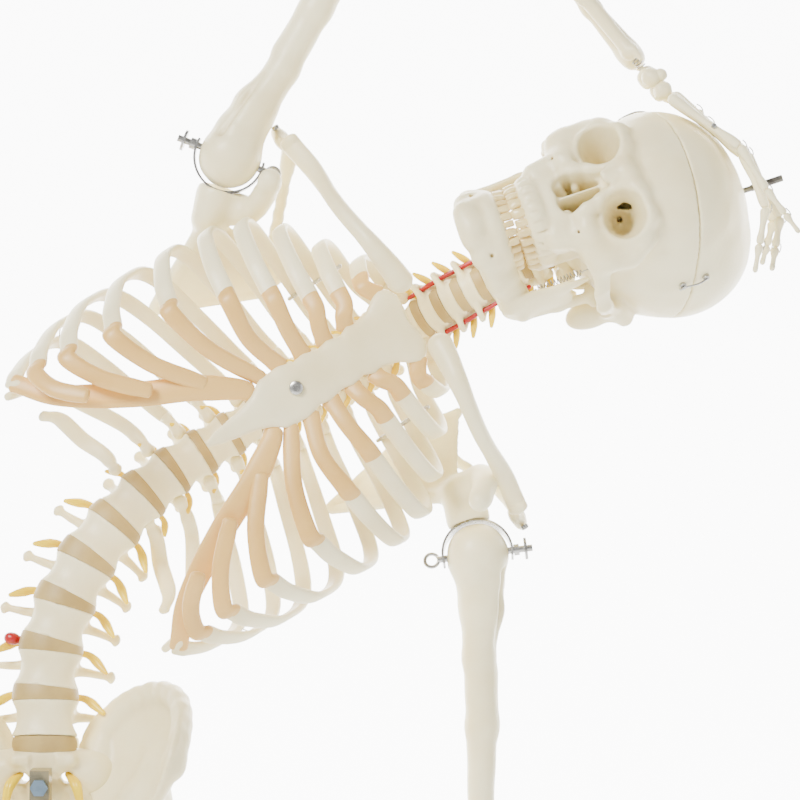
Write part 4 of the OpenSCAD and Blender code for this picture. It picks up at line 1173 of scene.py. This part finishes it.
def mandible():
    clay = Clay((-64, -106, -92), (64, 12, 14), 1.4)
    for s in (-1, 1):
        low = [(0, -89, -72), (s * 11, -87, -72.5), (s * 22, -77, -71), (s * 35, -54, -67),
               (s * 44, -30, -61), (s * 47, -14, -55)]
        high = [(0, -87, -60), (s * 14, -84, -60), (s * 24, -72, -59), (s * 31, -54, -57),
                (s * 38, -38, -54), (s * 44, -24, -50)]
        clay.chain(low, [7.6, 7.4, 7, 6.4, 6.4, 6.5], 7)
        clay.chain(high, [6, 6, 6, 6, 6, 6], 6)
        clay.chain([lerp(np.array(a), np.array(b), 0.5) for a, b in zip(low, high)],
                   [6, 6, 5.6, 5.6, 5.6, 6], 6)
        clay.rod((s * 47, -23, -50), (s * 48.5, -22, -30), 19, 15, 5, squash=((1, 0, 0), 0.22))
        clay.chain([(s * 46, -10, -52), (s * 48, -9, -28), (s * 48, -6, -6)], [6, 5.4, 4.6], 4,
                   squash=((1, 0, 0), 0.8))
        clay.chain([(s * 46, -38, -44), (s * 48, -36, -24), (s * 47.5, -38, -3)], [5.5, 6.5, 3],
                   4, squash=((1, 0, 0), 0.5))
        clay.ball((s * 48, -6, -2), (9.5, 4.8, 4.8), 3)
        clay.ball((s * 9, -92, -75), (7, 6, 6), 7)
    ridge = [arch_point(f, 22.4, -56.5)[0] for f in np.linspace(-50, 50, 19)]
    clay.chain(ridge, 6.0, 5)
    clay.ball((0, -93, -73), (9, 6, 8), 7)
    for s in (-1, 1):
        clay.ball((s * 25, -83, -65), (1.5, 4, 1.5), 1, True)
    clay.ripple(0.3, 29)
    return clay.skin(SKULL)


def coil(a, b, r, turns, d, up=(0.2, 1, 0.1), per=12, sides=7):
    """A close coil of wire between two points, with a straight tail at each end."""
    a, b = np.asarray(a, float), np.asarray(b, float)
    m = place(a, b - a, up)
    long = np.linalg.norm(b - a)
    n = int(turns * per)
    t = np.linspace(0, 1, n + 1)
    around = 2 * math.pi * turns * t
    taper = np.minimum(1, np.minimum(t, 1 - t) * 12)
    local = np.stack([r * taper * np.cos(around), r * taper * np.sin(around),
                      long * (0.08 + 0.84 * t)], 1)
    local = np.vstack([[0, 0, 0], local, [0, 0, long]])
    return sweep(moved(local, m), d, d, vec(0.11, 0.23, 0.97), sides)


def build_skull():
    make("cranium_shell", "skull", [cranium()], BONE, ["cranium"], smooth=50)
    make("calvarium_shell", "skull", [calvarium()], BONE, ["calvarium"], smooth=50)
    make("upper_tooth_crowns", "skull", teeth(25.0, -34.6, -1, 1.0), TEETH,
         ["upper_teeth"])
    make("jaw_bone", "jaw", [mandible()], BONE, ["mandible"])
    make("lower_tooth_crowns", "jaw", teeth(24.0, -49.4, 1, 0.96), TEETH,
         ["lower_teeth"])
    springs = []
    for s in (-1, 1):
        springs.append(coil(moved((s * 39.5, -30, -45), SKULL), moved((s * 39.5, -36, 0.5), SKULL),
                            2.4, 15, 0.8))
    spring = make("jaw_spring_coils", None, springs, STEEL, ["jaw_springs"])
    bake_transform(spring)
    fittings = []
    for s in (-1, 1):
        out = unit(vec(s * 1.0, -0.35, 0))
        p = outer_point(out + vec(0, 0, (CUT_SLOPE * 20) / 70))
        p[2] = CUT_Z - CUT_SLOPE * p[1]
        high = p + vec(0, 0, 9)
        low = p - vec(0, 0, 9)
        for q in (high, low):
            point, face = screw(q + out * 0.6, out, 2.6, 1.8)
            fittings.append((moved(point, SKULL), face))
        hook = smooth_path([high + out * 2.6, p + out * 4.6 + vec(0, 0, 2), low + out * 3.6,
                            low + out * 3.0 + vec(0, 3, -3), low + out * 2.4 + vec(0, 4, 1)], 6)
        fittings.append(sweep(moved(hook, SKULL), 1.5, 1.5, vec(0.1, 1, 0.2), 8))
    make("calvarium_clasps", "skull", fittings, STEEL)
    arteries = []
    for s in (-1, 1):
        points = [moved((s * (0.66 * table_at(i, BODY_WIDE)), 2.5, z), spine_frame(i))
                  for i in range(18, 22) for z in (-6, 5)]
        points = [moved((s * 17.5, 1, -11), spine_frame(17))] + points
        arteries.append(sweep(smooth_path(points, 4), [[0, 3.0], [0.1, 3.7], [1, 3.4]],
                              [[0, 3.0], [0.1, 3.7], [1, 3.4]], vec(0, 1, 0.1), 10))
    make("neck_arteries", "neck", arteries, RED, ["vertebral_arteries"])
    at = moved((-31, 6, 0), spine_frame(1.5))
    turn = spine_frame(1.5)[:3, :3]
    make("slipped_disc_bulge", "lumbar", [pebble(at, (6.2, 5.4, 4.6), turn, 2.2, 12),
                                          pebble(at + turn @ vec(4, 0, 0), (4, 3.8, 3.2), turn)],
         RED, ["slipped_disc"])


# ---- arms ------------------------------------------------------------------------

ARM_DIR = {1: unit([0.012, 0, -1]), -1: unit([0.52, -0.03, 0.854])}
FOREARM_DIR = {1: unit([0.01, 0, -1]), -1: unit([151, -22, -188])}
HUMERUS_LONG, FOREARM_LONG = 290, 240
ELBOW_AXIS = {1: vec(1, 0, 0), -1: unit(np.cross(ARM_DIR[-1], FOREARM_DIR[-1]))}


def elbow_at(s):
    return head_at(s) + HUMERUS_LONG * ARM_DIR[s]


def wrist_at(s):
    return elbow_at(s) + FOREARM_LONG * FOREARM_DIR[s]


def humerus(s):
    """In a frame at the head with +Z down the bone and +X along the elbow hinge."""
    m = place(head_at(s), ARM_DIR[s], ELBOW_AXIS[s])
    inverse = np.linalg.inv(m)
    long = HUMERUS_LONG
    socket = moved(CAGE_AT, inverse)
    inward = unit(vec(socket[0], socket[1], 0))
    clay = Clay((-42, -42, -26), (42, 42, long + 16), 1.6)
    clay.ball((0, 0, 0), HEAD_R, 2)
    clay.chain([(0, 0, 8), -inward * 3 + vec(0, 0, 40), (0, 0, 76)], [18.5, 15.5, 11.5], 7)
    clay.ball(-inward * 11 + vec(0, 0, 20), (10.5, 10.5, 13), 6)
    side = np.cross(inward, vec(0, 0, 1))
    clay.rod(-inward * 4 + side * 11 + vec(0, 0, 20), -inward * 2 + side * 8 + vec(0, 0, 46),
             7.5, 3, 5)
    groove = side * 17 - inward * 10
    clay.rod(groove + vec(0, 0, 12), groove * 0.75 + vec(0, 0, 66), 2.6, 2, 3, True)
    clay.chain([(0, 0, 76), -inward * 2 + vec(0, 0, 125), (0, 0, 190), (0, 0, long - 46)],
               [11.5, 11.5, 9.5, 9.5], 6)
    clay.rod(-inward * 8 + vec(0, 0, 88), -inward * 6 + vec(0, 0, 130), 6, 5, 9)
    for e in (-1, 1):
        clay.chain([(e * 3, 0, long - 74), (e * 11, 0, long - 34), (e * 17.5, 0, long - 12)],
                   [6, 5.5, 7], 6, squash=((0, 1, 0), 0.75))
        clay.ball((e * 16.5, 0, long - 9), (6.5, 6.5, 8), 5)
    clay.rod((0, 0, long - 50), (0, 0, long - 14), 10, 9, 8, squash=((0, 1, 0), 0.55))
    clay.rod((-18, 0, long), (-8, 0, long), 11, 8.4, 3)
    clay.rod((-8, 0, long), (3, 0, long), 8.4, 10.4, 3)
    clay.ball((12, 0, long), (9.5, 10.8, 10.8), 3)
    for e in (-1, 1):
        clay.ball((-3, e * 10, long - 15), (9, 5.5, 7), 4, True)
    clay.ripple(0.3, 31)
    return clay.skin(m)


def forearm(s):
    """In a frame at the elbow with +Z down the bones and +X along the hinge."""
    m = place(elbow_at(s), FOREARM_DIR[s], ELBOW_AXIS[s])
    long = FOREARM_LONG
    back = -1 if s > 0 else 1
    clay = Clay((-30, -30, -26), (36, 30, long + 6), 1.4)
    clay.chain([(-4, back * 3, 20), (-6, 0, 52), (-9, -back * 2, 110), (-10, 0, long - 70),
                (-10, 0, long - 24)], [10.5, 8.2, 6.6, 5.6, 5.2], 7)
    clay.chain([(-4, back * 6, 20), (-4, back * 12.5, 9), (-4, back * 12.5, -3),
                (-4, back * 9, -10)], [9.5, 6.5, 4.8, 3], 5)
    clay.rod((-4, -back * 8, 20), (-4, -back * 14.5, 9), 6.5, 3.6, 4)
    clay.ball((-10, 0, long - 16), (7.2, 6.8, 7), 4)
    clay.rod((-15, back * 3, long - 14), (-16, back * 3, long - 6), 3, 2, 2.5)
    clay.rod((-26, 0, 0), (24, 0, 0), 11.3, k=1, remove=True)
    clay.rod((17, 0, 17), (17, 0, 20), 9.6, 9.4, 3)
    clay.ball((17, 0, 10), (7, 7, 4), 2, True)
    clay.chain([(17, 0, 22), (15.5, 0, 36), (17, 0, 70), (20, 0, 120), (18, 0, long - 62),
                (14, 0, long - 24)], [7.4, 5.8, 6.0, 6.2, 6.6, 8.6], 6)
    clay.ball((12.5, -back * 4, 44), (5, 5, 9), 5)
    clay.ball((12.5, 0, long - 14), (13.5, 9, 10), 7)
    clay.rod((20, 0, long - 14), (21, 0, long - 5), 4.6, 3, 3)
    clay.ball((10, 0, long - 1), (11, 6.5, 4.5), 3, True)
    clay.ripple(0.28, 29)
    return clay.skin(m)


def ray(k):
    x = [14, 9, 2, -6, -13][k]
    a = [38, 64, 62, 58, 52][k]
    f = [30, 78, 84, 78, 62][k]
    if k == 0:
        return [vec(x, -4, 24), vec(x + 16, -10, 24 + a * 0.8), vec(x + 26, -12, 24 + a * 0.8 + f)]
    return [vec(x, 0, 26), vec(x * 1.8, -2, 26 + a), vec(x * 2.2, -10, 26 + a + f * 0.5),
            vec(x * 2.3, -20, 26 + a + f * 0.94)]


RAISED = [
    [(451, 18, 1530), (474, 24, 1518), (490, 25, 1503)],
    [(456, 6, 1526), (507, 4, 1485), (528, 0, 1437), (520, 0, 1407)],
    [(456, -10, 1526), (507, -12, 1485), (531, -18, 1439), (525, -20, 1402)],
    [(454, -23, 1524), (503, -28, 1485), (519, -35, 1445), (511, -39, 1400)],
    [(452, -34, 1523), (500, -44, 1488), (518, -51, 1457), (540, -57, 1427)]]


def hand_bones(s):
    """(wrist bones, finger bones, wires) of a hand, all in the row frame."""
    if s > 0:
        m = place(wrist_at(1), FOREARM_DIR[1], (1, 0, 0)) @ np.diag([-1.0, 1, 1, 1])
        rays = [moved(np.array(ray(k)), m) for k in range(5)]
        up = vec(1, 0, 0)
    else:
        m = place(wrist_at(-1), (0.62, 0.05, -0.78), (0, -1, 0))
        rays = [np.array(p, float) for p in RAISED]
        up = vec(0, 1, 0)
    turn = m[:3, :3]
    lumps = [((-12, 0.5, 7), (7.6, 7.0, 7.4)), ((1, 0.5, 5.5), (7.4, 7.2, 7.0)),
             ((12, 0, 7.5), (6.6, 6.4, 7.2)), ((14, -6, 10), (4.2, 4.2, 4.6)),
             ((-14.5, -1, 20), (6.6, 6.6, 6.6)), ((-5, 0, 19), (6.2, 6.6, 7.4)),
             ((4.5, 0, 19), (6.0, 6.8, 7.6)), ((13, 0, 20), (6.4, 6.6, 6.6))]
    flip = turn if np.linalg.det(turn) > 0 else turn * vec(-1, 1, 1)
    wrists = []
    for i, (p, r) in enumerate(lumps):
        lump = pebble(moved(p, m), r, flip @ turn_z(i * 23.0)[:3, :3] @ turn_x(i * 17.0)[:3, :3],
                      2.6, 12)
        wrists.append(lump)
    bones, wires = [], []
    for k, points in enumerate(rays):
        joints = [points[0]]
        if k == 0:
            joints += [points[1], lerp(points[1], points[2], 0.56), points[2]]
        else:
            joints += [points[1], points[2], lerp(points[2], points[3], 0.58), points[3]]
        sizes = [(11.6, 7.0, 10.6), (10.0, 6.2, 8.6), (8.6, 5.4, 7.4), (7.4, 4.2, 5.0)]
        if k == 0:
            sizes = [(11.6, 8.2, 10.4), (10.2, 6.8, 8.8), (8.8, 5.0, 6.0)]
        shrink = [1.0, 1.0, 1.03, 0.97, 0.88][k]
        for i in range(len(joints) - 1):
            a, b = joints[i], joints[i + 1]
            along = unit(b - a)
            r0, w0, h0 = [v * shrink for v in sizes[i]]
            a2 = a + along * (r0 * 0.36 if i else 2)
            b2 = b - along * (h0 * 0.36 if i < len(joints) - 2 else 0.6)
            bones.append(long_bone(a2, b2, r0, w0, h0, up, 0.86))
            if i == len(joints) - 2:
                bones.append(pebble(b - along * 1.6, (h0 * 0.62, h0 * 0.42, h0 * 0.42),
                                    place(b, along, up)[:3, :3], 2.2, 9))
            if i:
                wires.append(sweep([a - along * 1.5, a + along * 1.5], 1.4, 1.4,
                                   vec(0.2, 0.4, 1), 8))
                off = unit(np.cross(along, up)) * (r0 * 0.45)
                loop = [a - along * 3 + off, a + off * 1.15, a + along * 3 + off]
                wires.append(sweep(smooth_path(loop, 3), 0.8, 0.8, vec(0.2, 0.4, 1), 6))
    return wrists, bones, wires


def build_arms():
    for s, name in ((1, "left"), (-1, "right")):
        make(name + "_humerus_bone", name + "_upper_arm", [humerus(s)], BONE,
             [name + "_humerus"])
        make(name + "_forearm_bones", name + "_forearm", [forearm(s)], BONE,
             [name + "_forearm"])
        wrists, bones, wires = hand_bones(s)
        make(name + "_wrist_bones", name + "_hand", wrists, BONE, [name + "_hand"])
        make(name + "_finger_bones", name + "_hand", bones, BONE)
        end = wrist_at(s)
        far = moved((2, -1, 8), place(end, (0.62, 0.05, -0.78) if s < 0 else FOREARM_DIR[1],
                                      (0, -1, 0) if s < 0 else (1, 0, 0)))
        wires.append(coil(end - 12 * FOREARM_DIR[s], far, 3.2, 7, 1.0))
        if s < 0:
            knuckle = lerp(vec(*RAISED[4][0]), vec(*RAISED[4][1]), 0.6)
            wires.append(screw(knuckle + vec(0.6, -3.4, 0.6), vec(0.2, -1, 0.2), 2.0, 1.4))
            wires.append(screw(moved((-14.5, -8.4, 20), place(end, (0.62, 0.05, -0.78),
                                                              (0, -1, 0))),
                               vec(0, -1, 0), 2.0, 1.4))
        make(name + "_hand_wires", name + "_hand", wires, STEEL)


# ---- legs --------------------------------------------------------------------------

FEMUR_LONG, SHANK_LONG = 412, 362


KNEE = HIP - vec(0, 0, FEMUR_LONG)
ANKLE = KNEE - vec(0, 0, SHANK_LONG)


def femur(s):
    """The thigh bone with its kneecap, modelled as the left one."""
    hip, knee = HIP, KNEE
    clay = Clay((knee[0] - 46, -62, knee[2] - 30), (hip[0] + 76, 46, hip[2] + 30), 2.1)
    clay.ball(hip, 23, 2)
    trochanter = hip + vec(48, 2, -22)
    clay.rod(hip + vec(10, 0, -5), hip + vec(44, 0, -26), 13, 15, 8)
    clay.chain([trochanter + vec(4, 4, 8), trochanter + vec(2, 2, -14)], [11, 14], 8)
    clay.ball(hip + vec(34, 14, -62), (10, 9, 13), 8)
    shaft = [trochanter + vec(-6, 0, -22), trochanter + vec(-12, -4, -90),
             lerp(trochanter, knee, 0.55) + vec(0, -10, 0), knee + vec(8, -5, 92),
             knee + vec(3, -2, 54)]
    clay.chain(smooth_path(shaft, 3), [16, 14.8, 14, 13.4, 13, 12.8, 12.8, 13, 13.4, 14, 15, 17,
                                       20], 7)
    clay.rod(lerp(trochanter, knee, 0.4) + vec(-4, 6, 0), lerp(trochanter, knee, 0.75)
             + vec(2, 5, 0), 5, 4, 6)
    for e in (-1, 1):
        clay.rod(knee + vec(e * 10, -1, 58), knee + vec(e * 27, 0, 16), 13, 11, 10,
                 squash=((0, 1, 0), 0.85))
        clay.rod(knee + vec(e * 17, 0, 0), knee + vec(e * 26, 0, 0), 19.2, 18.6, 5)
        clay.ball(knee + vec(e * 33, 2, 8), (6, 9, 9), 5)
    clay.ball(knee + vec(0, -6, 14), (16, 14, 14), 8)
    clay.rod(knee + vec(0, -24, 24), knee + vec(0, -24, -4), 6, 5, 6, True)
    clay.rod(knee + vec(0, 20, 4), knee + vec(0, 4, -26), 8, 9.5, 4, True)
    clay.rod(knee + vec(-7, 0, 0), knee + vec(7, 0, 0), 12.5, k=2, remove=True)
    clay.ripple(0.35, 37)
    parts = [clay.skin()]
    cap = Clay(knee + vec(-26, -46, -16), knee + vec(26, -18, 36), 1.5)
    cap.ball(knee + vec(0, -31, 11), (18, 7.6, 18), 3)
    cap.rod(knee + vec(0, -31, 0), knee + vec(0, -30, -6), 7, 4, 6)
    cap.ripple(0.25, 23)
    parts.append(cap.skin())
    return [mirror_skin(p) for p in parts] if s < 0 else parts


def shank(s):
    """Shin bone and fibula, modelled as the left ones."""
    knee, ankle = KNEE, ANKLE
    clay = Clay((ankle[0] - 40, -42, ankle[2] - 26), (ankle[0] + 54, 42, knee[2] + 2), 2.1)
    top = knee - vec(0, 0, 32)
    for e in (-1, 1):
        clay.ball(top + vec(e * 16, 0, 0), (18.5, 21, 10.5), 7)
        clay.rod(knee + vec(e * 4, 2, -24), knee + vec(e * 3.5, 2, -19.5), 3.2, 2, 3)
    clay.chain([top + vec(0, -2, -8), top + vec(0, -3, -32), knee + vec(0, -4, -100),
                lerp(knee, ankle, 0.62) + vec(0, -2, 0), ankle + vec(-1, 0, 44),
                ankle + vec(-2, 0, 26)], [25, 17, 13, 11, 12, 15.5], 9)
    clay.chain([top + vec(2, -22, -22), knee + vec(-2, -15, -96), lerp(knee, ankle, 0.6)
                + vec(-3, -9, 0)], [7, 4.5, 3.5], 8)
    clay.ball(top + vec(2, -22, -20), (9, 7, 11), 7)
    clay.slab(ankle + vec(-1, 0, 24), (19, 17, 9), 7, 6)
    clay.chain([ankle + vec(-20, -2, 22), ankle + vec(-22, -3, 2), ankle + vec(-21, -2, -8)],
               [8, 5.5, 4], 6, squash=((1, 0, 0), 0.7))
    clay.rod(ankle + vec(-40, 0, 0), ankle + vec(24, 0, 0), 15.6, k=1.5, remove=True)
    clay.chain([ankle + vec(-22, -2, 12), ankle + vec(-23, -3, 0), ankle + vec(-22, -2, -9)],
               [6.5, 5, 4], 4, squash=((1, 0, 0), 0.6))
    fib = [knee + vec(38, 11, -42), knee + vec(38, 11, -60), lerp(knee, ankle, 0.5)
           + vec(37, 9, 0), ankle + vec(31, 6, 40), ankle + vec(29, 5, 18),
           ankle + vec(28, 3, -14)]
    clay.chain(smooth_path(fib, 2), [9, 7.5, 6, 5.2, 4.8, 4.8, 5, 5.4, 7, 8, 5.5], 4)
    clay.ripple(0.35, 35)
    return mirror_skin(clay.skin()) if s < 0 else clay.skin()


def foot(s):
    """Heel and ankle bones in clay, then the small bones, modelled as the left ones."""
    ankle = ANKLE
    clay = Clay(ankle + vec(-44, -64, -72), ankle + vec(44, 66, 20), 1.9)
    clay.rod(ankle + vec(-13, 0, 0), ankle + vec(13, 0, 0), 14.2, k=2)
    clay.chain([ankle + vec(0, -4, -6), ankle + vec(-2, -22, -14), ankle + vec(-4, -33, -20)],
               [13, 12, 13], 5)
    clay.rod(ankle + vec(2, 2, -23), ankle + vec(2, 8, -21), 3, 3, 3, True)
    clay.chain([ankle + vec(3, -14, -36), ankle + vec(3, 10, -36), ankle + vec(3, 36, -40),
                ankle + vec(2, 50, -46)], [12, 15, 15.5, 14.5], 6, squash=((1, 0, 0), 0.85))
    clay.ball(ankle + vec(2, 52, -50), (14, 12, 15), 6)
    clay.ball(ankle + vec(-8, 4, -27), (12, 11, 7), 5)
    clay.ball(ankle + vec(8, -33, -38), (14, 13, 13), 3)
    clay.ball(ankle + vec(-11, -39, -26), (16, 8, 14), 3)
    lumps = [((-19, -50, -38), (8.5, 8, 12)), ((-7, -52, -34), (6.5, 8, 11)),
             ((3, -52, -36), (6.2, 8, 11)), ((15, -52, -42), (9.5, 9, 11))]
    clay.ripple(0.35, 31)
    parts = [clay.skin()]
    for p, r in lumps:
        parts.append(pebble(ankle + vec(*p), r, None, 2.5, 12))
    for k in range(5):
        x = -(18 - k * 10)
        root = ankle + vec(x * 0.9, -56 + (6 if k == 4 else 0), -41 - abs(k - 1))
        ball = ankle + vec(x * 1.6, -104 + k * 6, -57 + (1 if k == 0 else 0))
        tip = ball + vec(x * 0.15, -46 + k * 4, -1)
        fat = 1.5 if k == 0 else 1.0
        parts.append(long_bone(root, ball + vec(0, 3, 0), 13 * min(fat, 1.35), 8.6 * fat,
                               12 * fat, vec(1, 0, 0), 0.95))
        joints = [ball, lerp(ball, tip, 0.6), tip] if k == 0 else \
            [ball, lerp(ball, tip, 0.5), lerp(ball, tip, 0.76), tip]
        for i in range(len(joints) - 1):
            a, b = joints[i] - vec(0, 4.5 if i == 0 else 2.0, 0), joints[i + 1] + vec(0, 1.2, 0)
            parts.append(long_bone(a, b, (10.5 - 1.6 * i) * fat, (6.6 - i) * fat,
                                   (8.6 - 1.5 * i) * fat, vec(1, 0, 0), 0.85))
    if s < 0:
        parts = [outward(p * vec(-1, 1, 1), q) if (q[:, 3] < 0).any()
                 else mirror_skin((p, q)) for p, q in parts]
    return parts


def build_legs():
    for s, name in ((1, "left"), (-1, "right")):
        make(name + "_femur_and_kneecap", name + "_thigh", femur(s), BONE,
             [name + "_femur"])
        make(name + "_shin_bones", name + "_shank", [shank(s)], BONE, [name + "_shank"])
        make(name + "_foot_bones", name + "_foot", foot(s), BONE, [name + "_foot"])


# ---- the CAD's own hardware, the floor, the light and the camera ------------------


def paint_nodes():
    chosen = {"base_legs": PAINT, "base_feet": RUBBER, "stand_pole": STEEL,
              "pelvic_bracket": BRASS, "bracket_bolt": ZINC, "suspension_pins": DARK_STEEL}
    for side in ("left", "right"):
        for part in ("_shoulder_yoke", "_shoulder_stud", "_elbow_pin", "_leg_pins"):
            chosen[side + part] = STEEL
    for name, shown in chosen.items():
        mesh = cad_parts[name].data
        mesh.materials.clear()
        mesh.materials.append(shown)


def build_stage():
    reach, far, high, glow_of_wall = 9.0, 3.6, 6.0, 9.0
    sheets = [("studio_floor", [(-reach, 0.0), (far, 0.0)], 0.0),
              ("studio_wall", [(far, 0.0), (far + 0.1, high)], glow_of_wall)]
    for name, rows, strength in sheets:
        points = [(x, y, z) for y, z in rows for x in (-reach, reach)]
        mesh = bpy.data.meshes.new(name)
        mesh.from_pydata(points, [], [(0, 1, 3, 2)])
        sheet = bpy.data.objects.new(name, mesh)
        bpy.context.scene.collection.objects.link(sheet)
        paper = material(name, (0.90, 0.90, 0.895), 0.9, (0.89, 0.89, 0.885), 0, 10, 1)
        glow = paper.node_tree.nodes["Principled BSDF"]
        glow.inputs["Emission Color"].default_value = (1.0, 1.0, 1.0, 1)
        glow.inputs["Emission Strength"].default_value = strength
        mesh.materials.append(paper)
    world = bpy.data.worlds.new("studio")
    bpy.context.scene.world = world
    world.use_nodes = True
    sky = world.node_tree.nodes["Background"]
    sky.inputs["Color"].default_value = (1.0, 1.0, 1.0, 1)
    sky.inputs["Strength"].default_value = 0.55
    lights = [("key", (-1.5, -2.4, 3.2), 200, 1.1, (1.0, 0.985, 0.96)),
              ("fill", (2.6, -2.4, 1.7), 30, 2.2, (0.98, 0.99, 1.0)),
              ("back", (0.6, 2.2, 3.0), 30, 2.0, (1.0, 1.0, 1.0))]
    for name, at, power, size, color in lights:
        light = bpy.data.lights.new(name, "AREA")
        light.energy = power
        light.size = size
        light.color = color
        lamp = bpy.data.objects.new(name, light)
        lamp.location = at
        aim = Vector((0.25, 0.0, 1.3)) - Vector(at)
        lamp.rotation_euler = aim.to_track_quat("-Z", "Y").to_euler()
        bpy.context.scene.collection.objects.link(lamp)


CAMERA_AT = (0.2592, -2.6, 1.3085)
SENSOR, FOCAL = 36.0, 162.5


def set_camera():
    lens = bpy.data.cameras.new("photo_view")
    lens.sensor_width = SENSOR
    lens.lens = FOCAL
    lens.clip_end = 40.0
    eye = bpy.data.objects.new("photo_view", lens)
    eye.location = CAMERA_AT
    eye.rotation_euler = (math.radians(90), 0, 0)
    bpy.context.scene.collection.objects.link(eye)
    bpy.context.scene.camera = eye


build_spine()
build_pelvis()
build_chest()
build_skull()
build_arms()
build_legs()
paint_nodes()
build_stage()
set_camera()

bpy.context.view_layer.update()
